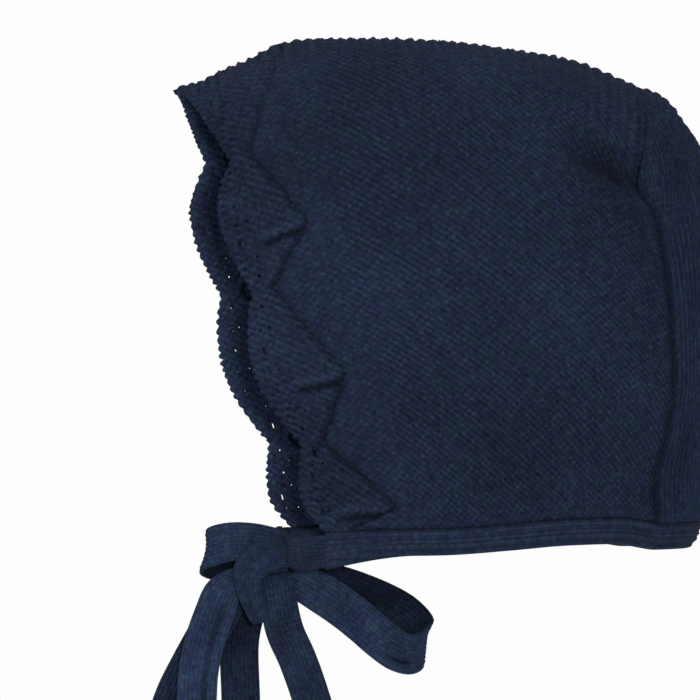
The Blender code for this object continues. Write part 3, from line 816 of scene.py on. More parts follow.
def seed_stitch_group():
    """Seed stitch: purl bumps on every other stitch, hollows between, no two alike."""
    tree, source, result = new_group(
        "Seed stitch", [("Stitches", "NodeSocketVector", None)],
        [("Height", "NodeSocketFloat"), ("Stitch", "NodeSocketFloat")])
    drift = tree.nodes.new("ShaderNodeTexNoise")
    drift.inputs["Scale"].default_value = 0.8
    drift.inputs["Detail"].default_value = 1.0
    tree.links.new(source.outputs["Stitches"], drift.inputs["Vector"])
    pulled = tree.nodes.new("ShaderNodeVectorMath")
    pulled.operation = "MULTIPLY_ADD"
    tree.links.new(drift.outputs["Color"], pulled.inputs[0])
    pulled.inputs[1].default_value = (1.3, 1.3, 0.0)
    tree.links.new(source.outputs["Stitches"], pulled.inputs[2])
    across, along = split_stitches(tree, pulled.outputs["Vector"])
    chance = stitch_chance(tree, across, along)
    wave = maths(tree, "MULTIPLY",
                 maths(tree, "SINE", maths(tree, "MULTIPLY", across, math.pi)),
                 maths(tree, "SINE", maths(tree, "MULTIPLY", along, math.pi)))
    ply = maths(tree, "SINE", maths(tree, "MULTIPLY",
                                    maths(tree, "ADD", maths(tree, "MULTIPLY", across, 2.0), along), FULL_TURN))
    wave = maths(tree, "MULTIPLY", wave, maths(tree, "MULTIPLY_ADD", chance, 0.30, 0.30))
    height = maths(tree, "ADD", wave, 0.5)
    tree.links.new(maths(tree, "ADD", height, maths(tree, "MULTIPLY", ply, 0.04)), result.inputs["Height"])
    tree.links.new(chance, result.inputs["Stitch"])
    return tree


def wale_group():
    """Knit columns: two slanting legs to each stitch."""
    tree, source, result = new_group(
        "Knit columns", [("Stitches", "NodeSocketVector", None)],
        [("Height", "NodeSocketFloat"), ("Stitch", "NodeSocketFloat")])
    across, along = split_stitches(tree, source.outputs["Stitches"])
    leg = maths(tree, "ABSOLUTE", maths(tree, "SUBTRACT", maths(tree, "FRACT", across), 0.5))
    round_leg = maths(tree, "SINE", maths(tree, "MULTIPLY", leg, FULL_TURN))
    slant = maths(tree, "ADD", along, maths(tree, "MULTIPLY", leg, 1.1))
    beat = maths(tree, "COSINE", maths(tree, "MULTIPLY", slant, FULL_TURN))
    height = maths(tree, "MULTIPLY", round_leg, maths(tree, "MULTIPLY_ADD", beat, 0.28, 0.66))
    tree.links.new(height, result.inputs["Height"])
    tree.links.new(stitch_chance(tree, across, slant), result.inputs["Stitch"])
    return tree


def yarn_group():
    """Heathered cotton yarn: slow and fine colour changes, painted shade in the hollows and from the painted
    shading attribute, and its fuzz.
    """
    tree, source, result = new_group(
        "Navy yarn",
        [("Colour", "NodeSocketColor", (0.015, 0.02, 0.04, 1.0)), ("Height", "NodeSocketFloat", 0.5),
         ("Stitch", "NodeSocketFloat", 0.5), ("Painted hollow shade", "NodeSocketFloat", 0.5),
         ("Painted shading", "NodeSocketFloat", 0.0)],
        [("Color", "NodeSocketColor"), ("Height", "NodeSocketFloat")])
    place = tree.nodes.new("ShaderNodeTexCoord")

    def noise(scale, detail):
        node = tree.nodes.new("ShaderNodeTexNoise")
        node.inputs["Scale"].default_value = scale
        node.inputs["Detail"].default_value = detail
        tree.links.new(place.outputs["Object"], node.inputs["Vector"])
        return node.outputs["Fac"]

    patch, fleck, fibre = noise(75.0, 2.0), noise(820.0, 3.0), noise(2600.0, 2.0)
    value = maths(tree, "MULTIPLY_ADD", fleck, 1.30, 0.35)
    value = maths(tree, "MULTIPLY", value, maths(tree, "MULTIPLY_ADD", patch, 0.14, 0.93))
    value = maths(tree, "MULTIPLY", value, maths(tree, "MULTIPLY_ADD", fibre, 0.40, 0.80))
    value = maths(tree, "MULTIPLY", value,
                  maths(tree, "MULTIPLY_ADD", source.outputs["Stitch"], 0.40, 0.80))
    # Painted shading from the mesh's attribute, kept above a quarter
    shade = maths(tree, "MULTIPLY_ADD", source.outputs["Painted shading"], -0.62, 1.0)
    value = maths(tree, "MULTIPLY", value, maths(tree, "MAXIMUM", shade, 0.25))
    # Painted shade in the stitch hollows, lighter on the stitch tops
    painted_relief_shade = maths(tree, "MULTIPLY_ADD", source.outputs["Height"], source.outputs["Painted hollow shade"],
                 maths(tree, "SUBTRACT", 1.0, maths(tree, "MULTIPLY", source.outputs["Painted hollow shade"], 0.55)))
    value = maths(tree, "MULTIPLY", value, painted_relief_shade)
    hue = tree.nodes.new("ShaderNodeHueSaturation")
    tone = maths(tree, "MULTIPLY_ADD", noise(310.0, 2.0), 0.12, 0.44)
    tree.links.new(tone, hue.inputs["Hue"])
    tree.links.new(value, hue.inputs["Value"])
    tree.links.new(source.outputs["Colour"], hue.inputs["Color"])
    tree.links.new(hue.outputs["Color"], result.inputs["Color"])
    rough = maths(tree, "MULTIPLY_ADD", fibre, 0.22, source.outputs["Height"])
    tree.links.new(rough, result.inputs["Height"])
    return tree


def knit_material(name, colour, pattern, painted_hollow_shade, bump_depth):
    """Cotton knit of one stitch pattern, counted on the piece's own map."""
    material = bpy.data.materials.new(name)
    material.use_nodes = True
    tree = material.node_tree
    shader = tree.nodes["Principled BSDF"]
    stitches = tree.nodes.new("ShaderNodeUVMap")
    stitches.uv_map = "UVMap"
    knit = tree.nodes.new("ShaderNodeGroup")
    knit.node_tree = pattern
    tree.links.new(stitches.outputs["UV"], knit.inputs["Stitches"])
    yarn = tree.nodes.new("ShaderNodeGroup")
    yarn.node_tree = YARN
    yarn.inputs["Colour"].default_value = colour
    yarn.inputs["Painted hollow shade"].default_value = painted_hollow_shade
    tree.links.new(knit.outputs["Height"], yarn.inputs["Height"])
    tree.links.new(knit.outputs["Stitch"], yarn.inputs["Stitch"])
    # Painted shading from the mesh, darkening or lightening the yarn
    painted_shading = tree.nodes.new("ShaderNodeAttribute")
    painted_shading.attribute_name = "painted_shading"
    tree.links.new(painted_shading.outputs["Fac"], yarn.inputs["Painted shading"])
    tree.links.new(yarn.outputs["Color"], shader.inputs["Base Color"])
    bump = tree.nodes.new("ShaderNodeBump")
    bump.inputs["Strength"].default_value = 1.0
    bump.inputs["Distance"].default_value = bump_depth
    tree.links.new(yarn.outputs["Height"], bump.inputs["Height"])
    tree.links.new(bump.outputs["Normal"], shader.inputs["Normal"])
    shader.inputs["Roughness"].default_value = 0.92
    shader.inputs["Specular IOR Level"].default_value = 0.05
    shader.inputs["Sheen Weight"].default_value = 0.01
    shader.inputs["Sheen Roughness"].default_value = 0.45
    shader.inputs["Sheen Tint"].default_value = (0.35, 0.50, 0.85, 1.0)
    material.diffuse_color = colour
    return material


def knit_shell(arc, setback):
    """Shell with the slack of the knit where the border hangs from the crown."""
    points = shell(arc, setback)
    slack = bell(setback - CROWN_SLACK_SETBACK, CROWN_SLACK_LENGTH)
    rise = TIP_CURL * smoothstep(13.0 * MM, 23.0 * MM, -setback) - CROWN_SLACK * slack
    points[:, 2] += rise * (1.0 - smoothstep(0.04, 0.26, np.abs(arc)))
    return points


def make_seed_stitch_panel():
    """Crown and sides in seed stitch, plain beside the lace, with short ribs at the crown's end."""
    arcs = leaf_columns(PANEL_COLUMNS / 2)
    columns = len(arcs) - 1
    rows = PLAIN_ROWS + 2 * SEED_STITCHES
    column, row = grid_numbers(columns, rows)
    arc = arcs[column.ravel()]
    row = row.ravel()
    start = leaf_edge(arc) + CLOSE_LEAF
    end = shell_length(np.abs(arc)) - CLOSE_SEAM
    plain = start + (SEED_START - start) * row / PLAIN_ROWS
    seeded = SEED_START + (end - SEED_START) * (row - PLAIN_ROWS) / (2 * SEED_STITCHES)
    setback = np.where(row < PLAIN_ROWS, plain, seeded)
    points = knit_shell(arc, setback).reshape(columns + 1, rows + 1, 3)
    arc, setback, start, end, row = (
        values.reshape(points.shape[:2]) for values in (arc, setback, start, end, row))
    across = column + 0.5
    along = np.where(row < PLAIN_ROWS, (setback - SEED_START) / STITCH_HEIGHT, (row - PLAIN_ROWS) / 2.0)
    checker = np.sin(math.pi * across) * np.sin(math.pi * along)
    neck = (1.0 - np.abs(arc)) * PANEL_NECK_ARC * MM
    crown_end = smoothstep(0.78, 0.92, setback / end) * (1.0 - smoothstep(0.20, 0.36, np.abs(arc)))
    seeded = smoothstep(0.0, 3.0, along) * (1.0 - 0.55 * crown_end) * smoothstep(3.0 * MM, 7.0 * MM, neck)
    chance = uneven(11, *checker.shape, 0.85)
    relief = SEED_RELIEF * checker * seeded * chance + 0.06 * MM * (uneven(12, *checker.shape, 1.0) - 1.0)
    on_crown = 1.0 - smoothstep(0.04, 0.16, np.abs(arc))
    bumps = np.cos(2 * math.pi * setback / (CROWN_RIDGE * MM) + 0.9 * np.sin(setback / (5.3 * MM)))
    bumps *= 0.85 + 0.30 * np.sin(setback / (8.1 * MM) + 1.0)
    relief += 0.50 * MM * on_crown * bumps * smoothstep(-9.0, -7.0, along)
    short_rows = np.cos(2 * math.pi * (end - setback) / (SHORT_ROW * MM))
    relief += 0.34 * MM * crown_end * (1.0 - on_crown) * short_rows
    plain_zone = 1.0 - smoothstep(0.0, 3.0, along)
    relief += 0.08 * MM * plain_zone * np.cos(math.pi * column)
    relief += 0.16 * MM * (1.0 - smoothstep(4.0 * MM, 7.5 * MM, neck)) * np.cos(math.pi * column)
    relief -= leaf_groove(arc) * bell(setback - start, LEAF_GROOVE * MM)
    relief -= seam_groove(np.abs(arc)) * bell(end - setback, SEAM_GROOVE * MM)
    relief *= smoothstep(0.0, 2.5 * MM, neck) * 0.85 + 0.15
    waves = soft_waves(arc, setback, 0.40 * MM) * smoothstep(0.0, 8.0 * MM, end - setback)
    waves *= smoothstep(0.0, 9.0 * MM, neck)
    stitches = np.stack((across, along), axis=2)
    piece = knit_grid("seed_stitch_knit", points, stitches)
    edge = np.minimum(np.minimum(setback - start, end - setback), neck)
    give_wall(piece, WALL, -1.0, 0.6, edge / (2.0 * MM))
    # Painted shade in the dent at the seam's corner
    fold = dent(np.abs(arc), np.clip(end - setback - 2.0 * MM, 0.0, None)) / DENT_DEPTH
    inside = -SEED_RELIEF * checker * seeded - waves
    add_relief(piece, points, relief + waves, inside, shade=(0.7 * fold, 0.0))
    return finish_piece(piece, SEED_KNIT, "seed_stitch_panel")


def seam_groove(arc_share):
    """Depth of the groove along the back seam, deeper below the crown's corner."""
    return (0.25 + 0.65 * smoothstep(0.34, 0.46, arc_share)) * MM


def eyelet_list():
    """Eyelets of the lace: arc, set-back, and radius across and along, in metres."""
    eyelets = []
    for number, (low, _, rib, high, *_) in enumerate(leaf_rows()):
        count = 9 if rib == 0.0 else 7
        for place in range(count):
            arc = low + (high - low) * (place + 0.75) / (count + 0.5)
            outer = leaf_outline(np.array([arc]))[1][0]
            long_one = (place + 2 * number) % 5 == 2
            width = 0.42 if place % 2 else 0.55
            inset = 4.6 + 0.7 * math.sin(5.0 * place + number)
            eyelets.append((arc, -outer + inset * MM, (1.6 if long_one else width) * MM, width * MM))
        for place in range(3):
            arc = low + (high - low) * (place + 0.9) / 3.8
            outer = leaf_outline(np.array([arc]))[1][0]
            eyelets.append((arc, -outer + (7.4 + 0.8 * (place % 2)) * MM, 0.45 * MM, 0.50 * MM))
    return eyelets


def make_lace_border():
    """Border of leaves with their ribs, eyelets, short rows and picot edge."""
    arcs = leaf_columns(LACE_PER_UNIT)
    columns = len(arcs) - 1
    column, row = grid_numbers(columns, LACE_ROWS)
    arc = arcs[column]
    inner = leaf_edge(arc.ravel()).reshape(arc.shape)
    outer = leaf_outline(arc.ravel())[1].reshape(arc.shape)
    down = row / LACE_ROWS
    loops = np.abs(np.sin(math.pi * arc * BORDER_ARC / (PICOT_PITCH * MM) + 0.9 * np.sin(arc * 37.0)))
    picot = (0.95 + 0.35 * np.sin(arc * 83.0)) * MM * (loops - 0.55)
    setback = inner - (inner + outer + picot) * down
    kept = np.ones((columns, LACE_ROWS), dtype=bool)
    arc = arc.copy()
    for middle_arc, middle_setback, radius_across, radius_along in eyelet_list():
        c = int(np.argmin(np.abs(arcs - middle_arc)))
        if not 6 < c < columns - 6:
            continue
        r = int(np.argmin(np.abs(setback[c] - middle_setback)))
        pitch_across = (arcs[c + 1] - arcs[c - 1]) / 2 * BORDER_ARC
        pitch_along = abs(inner[c, 0] + outer[c, 0]) / LACE_ROWS
        half_c = max(1, round(radius_across / pitch_across))
        half_r = max(1, round(radius_along / pitch_along))
        if r - half_r < 2 or r + half_r > LACE_ROWS - 3:
            continue
        block = kept[c - half_c - 1:c + half_c + 1, r - half_r - 1:r + half_r + 1]
        if not block.all():
            continue
        kept[c - half_c:c + half_c, r - half_r:r + half_r] = False
        for i in range(-half_c, half_c + 1):
            for j in range(-half_r, half_r + 1):
                if abs(i) == half_c or abs(j) == half_r:
                    turn = math.atan2(j / half_r, i / half_c)
                    arc[c + i, r + j] = arcs[c] + math.cos(turn) * radius_across / BORDER_ARC
                    setback[c + i, r + j] = setback[c, r] - math.sin(turn) * radius_along
    points = knit_shell(arc.ravel(), setback.ravel()).reshape(columns + 1, LACE_ROWS + 1, 3)
    relief = np.zeros_like(arc)
    swell = np.zeros_like(arc)
    for low, _, rib, high, *_ in leaf_rows():
        side = 1.0 if rib >= 0 else -1.0
        inside = (arc >= low) & (arc <= high)
        away = np.where(arc < rib, (rib - arc) / (rib - low), (arc - rib) / (high - rib))
        off = (arc - rib) * side * BORDER_ARC
        stem = (1.0 - smoothstep(0.42, 0.72, down)) * smoothstep(0.0, 0.06, down)
        leaf = 0.6 * MM * bell(off, LEAF_RIB * MM) * stem
        leaf -= 1.1 * MM * bell(off - RIB_GROOVE_OFFSET * MM, RIB_GROOVE * MM) * stem
        above = 0.6 if rib == 0.0 else 0.1
        leaf -= above * MM * bell(off + RIB_GROOVE_OFFSET * MM, RIB_GROOVE * MM) * stem
        belly = np.clip(1.0 - away, 0.0, 1.0) ** 0.7
        relief = np.where(inside, leaf, relief)
        swell = np.where(inside, belly * np.sin(math.pi * np.clip(down, 0.0, 1.0)) ** 0.8, swell)
    relief += 0.6 * MM * swell
    rays = np.sin(2 * math.pi * arc * BORDER_ARC / (RAY_PITCH * MM) + 1.4 * np.sin(9.0 * down + 31.0 * arc))
    rays *= 0.65 + 0.35 * np.sin(arc * 71.0 + 5.0 * down)
    relief += 0.36 * MM * rays * smoothstep(0.45, 0.80, down)
    rows_in = np.cos(2 * math.pi * (inner - setback) / (LACE_ROW_PITCH * MM))
    relief += 0.12 * MM * rows_in * (1.0 - smoothstep(0.35, 0.7, down))
    purls = np.sin(math.pi * arc * BORDER_ARC / STITCH_WIDTH + 0.5)
    purls = purls * np.sin(math.pi * setback / STITCH_HEIGHT)
    relief += 0.30 * MM * purls * uneven(6, *relief.shape, 0.8)
    relief += 0.20 * MM * (uneven(5, *relief.shape, 1.0) - 1.0)
    crown_line = 1.0 - smoothstep(0.03, 0.10, np.abs(arc))
    relief += 0.45 * MM * crown_line * np.cos(2 * math.pi * setback / (CROWN_RIDGE * MM))
    relief -= leaf_groove(arc) * bell(inner - setback, LEAF_GROOVE * MM)
    neck = (1.0 - np.abs(arc)) * BORDER_ARC
    relief *= smoothstep(0.0, 3.0 * MM, neck)
    relief += soft_waves(arc, setback + 0.05, 0.6 * MM) * smoothstep(0.0, 9.0 * MM, neck)
    stitches = np.stack((arc * BORDER_ARC / STITCH_WIDTH, -setback / STITCH_HEIGHT), axis=2)
    piece = knit_grid("lace_border_knit", points, stitches, kept)
    bpy.ops.object.mode_set(mode="EDIT")
    bpy.ops.mesh.select_all(action="SELECT")
    bpy.ops.mesh.flip_normals()
    bpy.ops.object.mode_set(mode="OBJECT")
    edge = np.minimum(np.minimum(inner - setback, setback + outer + picot), neck)
    give_wall(piece, LACE_WALL, -1.0, 0.5, edge / (1.8 * MM))
    # Painted shade on the outer face cancels most of the leaves' painted light; painted light brightens the
    # inner face
    add_relief(piece, points, relief, -0.7 * relief, way=-1.0, shade=(0.5 * swell, -0.4 * swell - 0.80))
    return finish_piece(piece, LACE_KNIT, "lace_border")


def dimple(arc):
    """How far the panel's dent pulls the back seam in at each arc position."""
    end = shell_length(np.abs(arc))
    return shell(arc, end) - smooth_shell(arc, end)


def make_back_panel():
    """Back panel: seed stitch over the crown's corner, then fine ribs down to the neck."""
    columns, rows = BACK_RIBS * 6, BACK_ROWS

    def place(column, row):
        across = 2.0 * column / columns - 1.0
        down = row / rows
        points = back_surface(across, down)
        at_edge = (column == 0) | (column == columns) | (row == 0)
        within = back_surface(across * (1.0 - EDGE_LOOK_ACROSS), np.clip(down, EDGE_LOOK_DOWN, 1.0))
        slip = unit(within[at_edge] - points[at_edge])
        on_side = ((column == 0) | (column == columns))[at_edge][:, None]
        points[at_edge] += slip * np.where(on_side, -SEAM_TUCK, CLOSE_SEAM)
        seam_arc = np.sign(across) * (SEAM_CORNER + (1.0 - SEAM_CORNER) * down)
        arch_arc = across * SEAM_CORNER
        by_side = bell((1.0 - np.abs(across)) * BACK_HALF, DIMPLE_FADE)[:, None]
        by_arch = bell(row * BACK_ROW, DIMPLE_FADE)[:, None]
        corner = np.sign(across) * SEAM_CORNER
        return (points + by_side * dimple(seam_arc) + by_arch * dimple(arch_arc)
                - by_side * by_arch * dimple(corner))

    points = surface_of(place, columns, rows)
    column, row = grid_numbers(columns, rows)
    rib = column / 6.0
    across = 2.0 * column / columns - 1.0
    drop = row / rows
    fan = 1.0 - smoothstep(0.13, 0.24, drop + 0.05 * np.cos(3.0 * across))
    side_gap = (1.0 - np.abs(across)) * BACK_HALF
    chance = uneven(23, *across.shape, 0.45)
    ribs = 0.42 * MM * np.cos(2 * math.pi * rib) * (1.0 + 0.25 * np.sin(rib * 2.3))
    ribs = ribs + 0.06 * MM * np.cos(math.pi * row)
    seeds = SEED_RELIEF * np.sin(math.pi * (column / 3.0 + 0.5))
    seeds = seeds * np.sin(math.pi * (row / 2.0 + 0.5)) * chance
    fans = 0.40 * MM * np.cos(2 * math.pi * row * BACK_ROW / SHORT_ROW)
    fans = fans * (1.0 - smoothstep(0.15, 0.55, np.abs(across)))
    relief = ribs * (1.0 - fan) + (seeds + fans) * fan
    relief *= smoothstep(0.0, 3.0, np.minimum(side_gap, row * BACK_ROW))
    by_seam = bell(side_gap, SEAM_GROOVE)
    relief -= seam_groove(SEAM_CORNER + (1.0 - SEAM_CORNER) * drop) * by_seam
    relief -= seam_groove(0.0) * bell(row * BACK_ROW, SEAM_GROOVE) * (1.0 - by_seam)
    relief *= smoothstep(0.0, 4.0, rows - row)
    waves = soft_waves(across * 0.5, row * BACK_ROW * MM, 0.4 * MM) * smoothstep(0.0, 8.0, side_gap)
    waves *= smoothstep(0.0, 12.0, np.minimum(row, rows - row))
    stitches = np.stack((column / 3.0 + 0.5, row / 2.0 + 0.5), axis=2)
    piece = knit_grid("back_panel_knit", points, stitches)
    edge = np.minimum(np.minimum(side_gap, row * BACK_ROW), (rows - row) * BACK_ROW)
    give_wall(piece, BACK_WALL, -1.0, 0.5, edge / 2.0)
    # Painted shade at the top of each seam, in the fold by the crown's corner
    fold = np.exp(-(side_gap / 5.0) ** 2 - (row * BACK_ROW / 16.0) ** 2)
    add_relief(piece, points, relief + waves, -0.8 * relief - waves, shade=(0.5 * fold, 0.0))
    finish_piece(piece, RIB_KNIT, "back_panel")
    piece.data.materials.append(SEED_KNIT)
    rows_up = read_values(piece.data.uv_layers.active.data, "uv", 2)[:, 1]
    first = read_values(piece.data.polygons, "loop_start", kind=int)
    seeded = (rows_up[first] < rows * SEED_BACK_SHARE).astype(int)
    piece.data.polygons.foreach_set("material_index", seeded)
    return piece


def band_rows(upward, height):
    """Rows of the binding, closer together along its stitched upper edge."""
    drop = (1.0 - upward) * height / 2
    pitch = np.where(drop < 3.2 * MM, 1.6 * MM, 2.4 * MM)
    return np.cos(2 * math.pi * drop / pitch)


def squared(value):
    """Sine or cosine of the binding's section, drawn towards a square."""
    return np.sign(value) * np.abs(value) ** BAND_SQUARENESS


def make_neckband():
    """Folded binding: its two lips close over the edge of the panels, and its rows run along it."""
    stations, sides = 360, 60

    def place(column, row):
        share = column / stations
        points, outward = neck_frame(share)
        turn = 2.0 * math.pi * (row / sides) - math.pi / 2
        across, upward = squared(np.cos(turn)), squared(np.sin(turn))
        height = band_height(share)
        lean = BAND_LEAN * np.clip(1.0 - np.abs(share - 0.5) * BAND_LEAN_FADE, 0.0, 1.0)
        middle = points - outward * (WALL / 2 + lean * (1.0 - upward) * height / 2)[:, None]
        middle[:, 2] -= BAND_GAP + height / 2
        lip = LIP_HEIGHT * smoothstep(0.55, 0.66, np.abs(across)) * smoothstep(0.2, 0.9, upward)
        swell = 1.0 + 0.04 * np.sin(share * 61.0) + 0.03 * np.sin(share * 143.0 + 1.0)
        ridge = 0.30 * MM * band_rows(upward, height) * (np.abs(across) > 0.6) * (np.abs(upward) < 0.97)
        ridge += 0.07 * MM * np.cos(math.pi * column)
        swell *= 0.62 + 0.38 * smoothstep(0.0, 0.045, 0.5 - np.abs(share - 0.5))
        return (middle + outward * (across * (BAND_THICKNESS / 2 * swell + ridge))[:, None]
                + np.array((0.0, 0.0, 1.0)) * (upward * height / 2 + lip)[:, None])

    points = surface_of(place, stations, sides)
    column, row = grid_numbers(stations, sides)
    stitches = np.stack((row / sides * 16.0, column * 0.62), axis=2)
    piece = knit_grid("neckband_knit", points, stitches)
    column, row = grid_places(piece.data)
    upward = squared(np.sin(2.0 * math.pi * row / sides - math.pi / 2))
    rows_in = band_rows(upward, band_height(column / stations))
    # Painted shade along the seam under the lips and between the rows, and a little over the whole band
    seam_shade = bell((1.0 - upward) * BAND_HEIGHT / 2 - 0.5 * MM, 0.8 * MM)
    mark_painted_shading(piece, MM * (0.55 * seam_shade - 0.30 * rows_in + 0.06))
    forget_grid(piece.data)
    bpy.ops.object.mode_set(mode="EDIT")
    bpy.ops.mesh.select_all(action="SELECT")
    bpy.ops.mesh.remove_doubles(threshold=0.00001)
    bpy.ops.mesh.select_mode(type="VERT")
    bpy.ops.mesh.select_all(action="DESELECT")
    bpy.ops.mesh.select_non_manifold()
    bpy.ops.mesh.fill_holes(sides=0)
    bpy.ops.mesh.select_all(action="SELECT")
    bpy.ops.mesh.normals_make_consistent(inside=False)
    bpy.ops.object.mode_set(mode="OBJECT")
    return finish_piece(piece, BAND_KNIT, "neckband")


def make_band(name, node, route, angles, width, steps,
              pinched=TIE_PINCH, crease=None, shade=(0.0, 0.0)):
    """Ribbed knit band along a route: wales run along it and its edges roll a little."""
    cross = TIE_WALES * WALE_POINTS
    points = band_along(np.array(route), np.array(angles), width, steps, cross, pinched)
    column, row = grid_numbers(steps, cross)
    side = 2.0 * row / cross - 1.0
    relief = 0.17 * MM * np.cos(2 * math.pi * row / WALE_POINTS)
    relief += 0.05 * MM * np.cos(math.pi * column)
    waves = 0.35 * MM * np.sin(column * 0.21 + side * 1.4) * (1.0 - side ** 2)
    if crease:
        begin, end, line, spread = crease
        window = smoothstep(begin, begin + 0.05, column / steps)
        window = window * (1.0 - smoothstep(end - 0.05, end, column / steps))
        fold = bell(side - line, spread) * window
    else:
        fold = 0.0 * side
    length = np.linalg.norm(np.diff(points[:, cross // 2], axis=0), axis=1).sum()
    stitches = np.stack((row / WALE_POINTS + 0.5, column / steps * length / (TIE_ROW * MM)), axis=2)
    piece = knit_grid(name, points, stitches)
    edge = np.minimum(np.minimum(row, cross - row) * width / cross,
                      np.minimum(column, steps - column) * length / steps)
    give_wall(piece, TIE_WALL, 0.0, 0.45, edge / (1.3 * MM))
    outer, inner = relief + waves - 1.1 * MM * fold, relief - waves - 0.9 * MM * fold
    add_relief(piece, points, outer, inner, shade=shade)
    return finish_piece(piece, TIE_KNIT, node)


def make_knot():
    """Knot: a lump with the folds of the band that wraps it."""
    bpy.ops.object.select_all(action="DESELECT")
    bpy.ops.mesh.primitive_uv_sphere_add(segments=96, ring_count=64, radius=1.0)
    piece = bpy.context.object
    piece.name = piece.data.name = "bow_knot_knit"
    mesh = piece.data
    ball = read_values(mesh.vertices, "co", 3)
    points = ball * (np.array(KNOT_LOOK) / 2)
    fold = (points[:, 1] * 0.62 - points[:, 2] * 0.78) / MM
    along = (points[:, 1] * 0.78 + points[:, 2] * 0.62) / MM
    relief = -0.55 * MM * (0.5 + 0.5 * np.cos(2 * math.pi * (fold + 0.05 * along ** 2) / 4.6))
    relief += 0.10 * MM * np.cos(2 * math.pi * fold / TIE_WALE)
    points = points + ball * relief[:, None] + knot_centre()
    mesh.vertices.foreach_set("co", points.ravel())
    corners = read_values(mesh.loops, "vertex_index", kind=int)
    stitches = np.stack((fold / TIE_WALE, along / TIE_ROW), axis=1)[corners]
    mesh.uv_layers.active.data.foreach_set("uv", stitches.ravel())
    mesh.materials.append(TIE_KNIT)
    mesh.shade_smooth()
    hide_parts("bow_knot")
    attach(piece, "root")
    return piece


def make_knot_wrap():
    """Turn of the tie that wraps the knot, from its upper back to its lower front."""
    route = from_knot(np.array(WRAP_ROUTE), WRAP_REACH)
    share = np.linspace(0.0, 1.0, WRAP_STEPS + 1)
    middle = curve_points(np.column_stack((np.linspace(0.0, 1.0, len(route)), route)), share)
    along = unit(np.gradient(middle, axis=0))
    width = unit(np.cross(along, middle - knot_centre()))
    outward = np.cross(width, along)
    side = np.linspace(-1.0, 1.0, WRAP_CROSS + 1)
    half = TIE_WIDTH * (0.45 - 0.13 * smoothstep(0.55, 1.0, share))
    points = middle[:, None, :] + width[:, None, :] * (half[:, None] * side[None, :])[:, :, None]
    points -= outward[:, None, :] * (2.6 * MM * side ** 2)[None, :, None]
    column, row = grid_numbers(WRAP_STEPS, WRAP_CROSS)
    relief = 0.20 * MM * np.cos(2 * math.pi * row / WALE_POINTS)
    relief = relief + 0.35 * MM * np.cos(2 * math.pi * row / 14.0 + 0.06 * column)
    stitches = np.stack((row / WALE_POINTS + 0.5, column * 0.62), axis=2)
    piece = knit_grid("bow_knot_wrap", points, stitches)
    edge = np.minimum(np.minimum(row, WRAP_CROSS - row) * 0.4,
                      0.6 * np.minimum(column, WRAP_STEPS - column))
    give_wall(piece, TIE_WALL, 0.0, 0.45, edge / 1.3)
    half_way = WRAP_STEPS // 2
    facing = np.sign((outward_normals(points)[half_way, WRAP_CROSS // 2] * outward[half_way]).sum())
    add_relief(piece, points, relief * facing, relief * 0.5)
    return finish_piece(piece, TIE_KNIT, "bow_knot")


def place_camera():
    """Camera on the near side, a little towards the face, level with the middle of the frame."""
    turn = math.radians(82.0)
    back = Vector((math.sin(turn), -math.cos(turn), 0.0))
    aim = Vector((0.0, FRAME_MIDDLE[0], FRAME_MIDDLE[1]))
    data = bpy.data.cameras.new("Camera")
    data.sensor_width = 36.0
    data.lens = data.sensor_width * CAMERA_DISTANCE / FRAME_WIDTH
    data.clip_start = 0.1
    data.clip_end = 30.0
    camera = bpy.data.objects.new("Camera", data)
    camera.location = aim + back * CAMERA_DISTANCE
    camera.rotation_mode = "QUATERNION"
    camera.rotation_quaternion = (-back).to_track_quat("-Z", "Y")
    bpy.context.scene.collection.objects.link(camera)
    bpy.context.scene.camera = camera


def soft_light(name, place, aim, size, energy):
    """Large square softbox."""
    data = bpy.data.lights.new(name, "AREA")
    data.shape = "SQUARE"
    data.size = size
    data.energy = energy
    light = bpy.data.objects.new(name, data)
    light.location = place
    light.rotation_mode = "QUATERNION"
    light.rotation_quaternion = (Vector(aim) - Vector(place)).to_track_quat("-Z", "Y")
    bpy.context.scene.collection.objects.link(light)


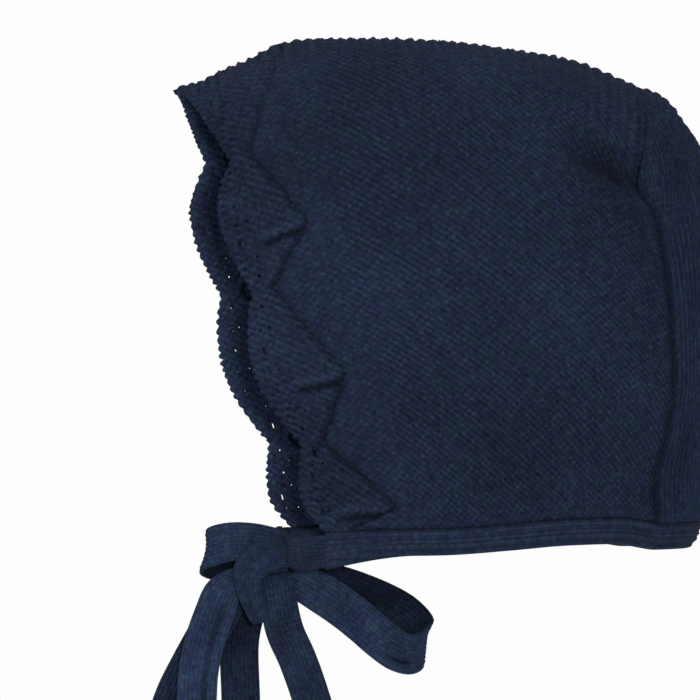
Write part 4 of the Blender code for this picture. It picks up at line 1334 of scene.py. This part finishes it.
def light_the_set():
    """White surroundings, a pale floor below and soft lights from the upper front."""
    world = bpy.data.worlds.new("White studio")
    world.use_nodes = True
    world.node_tree.nodes["Background"].inputs["Color"].default_value = (0.985, 0.985, 0.985, 1.0)
    world.node_tree.nodes["Background"].inputs["Strength"].default_value = 1.0
    bpy.context.scene.world = world
    bpy.ops.object.select_all(action="DESELECT")
    bpy.ops.mesh.primitive_plane_add(size=3.4, location=(0.0, 0.0, 0.0))
    floor = bpy.context.object
    floor.name = "studio_floor"
    floor.data.transform(Matrix.Translation((0.0, 0.0, FLOOR_HEIGHT)))
    paper = bpy.data.materials.new("studio_paper")
    paper.use_nodes = True
    paper.node_tree.nodes["Principled BSDF"].inputs["Base Color"].default_value = (0.86, 0.86, 0.86, 1.0)
    paper.node_tree.nodes["Principled BSDF"].inputs["Roughness"].default_value = 0.9
    floor.data.materials.append(paper)
    soft_light("Front softbox", (2.7, -0.25, -0.02), (0.0, 0.0, -0.09), 0.16, KEY_ENERGY)
    soft_light("Upper softbox", (0.7, -0.9, 1.0), (0.0, 0.0, -0.08), 0.6, FILL_ENERGY)
    view = bpy.context.scene.view_settings
    view.view_transform = "Standard"
    view.look = "None"


place_camera()
light_the_set()

YARN = yarn_group()
SEED = seed_stitch_group()
WALES = wale_group()
# The fourth number is the painted shade in the stitch hollows
SEED_KNIT = knit_material("navy_seed_stitch", NAVY, SEED, 0.55, 0.00030)
LACE_KNIT = knit_material("navy_lace_knit", NAVY_LACE_LIT, SEED, 0.55, 0.00030)
RIB_KNIT = knit_material("navy_rib_knit", NAVY_RIB_LIT, WALES, 0.45, 0.00030)
BAND_KNIT = knit_material("navy_band_knit", NAVY_BAND_LIT, WALES, 0.40, 0.00025)
TIE_KNIT = knit_material("navy_tie_knit", NAVY_TIE_LIT, WALES, 0.45, 0.00030)

make_seed_stitch_panel()
make_lace_border()
make_back_panel()
make_neckband()
for side, name in ((1, "near_tie"), (-1, "far_tie")):
    route, angles = tie_route(side)
    angles = TIE_TWIST[:len(angles)] if side > 0 else angles
    width = TIE_WIDTH * (0.80 if side > 0 else 1.0)
    make_band(name + "_knit", name, route, angles, width, 40, pinched=0.0)
make_knot()
make_knot_wrap()
# The last value of each row is painted shade on the band's outer and inner face, painted light where it is
# below 0
for name, table, length, share, steps, flat, held, gather, crease, shade in (
    ("right_loop", RIGHT_LOOK, RIGHT_LOOP, 1.00, 120, (0.108, 0.0130), "folded", 0.10,
     (0.36, 0.50, -0.45, 0.13), (-0.60, 0.80)),
    ("left_loop", LEFT_ROUTE, LEFT_LOOP, 0.98, 140, (0.142, 0.0127), "folded", 0.35,
     (0.10, 0.42, 0.35, 0.14), (-0.75, 0.10)),
    ("upper_loop", UPPER_LOOK, UPPER_LOOP, 1.00, 60, (0.048, 0.0130), "folded", 0.12,
     None, (0.80, -0.35)),
    ("front_tail", FRONT_LOOK, FRONT_TAIL, 0.93, 92, (0.107, 0.0120), "hung", 0.04, None, (0.0, 0.0)),
    ("middle_tail", MIDDLE_ROUTE, MIDDLE_TAIL, 0.95, 84, (0.100, 0.0123), "hung", 0.35, None, (0.35, 0.35)),
):
    route, angles = bow_route(table, length)
    make_band(name + "_knit", name, route, angles, TIE_WIDTH * share, steps,
              pinched=gather, crease=crease, shade=shade)
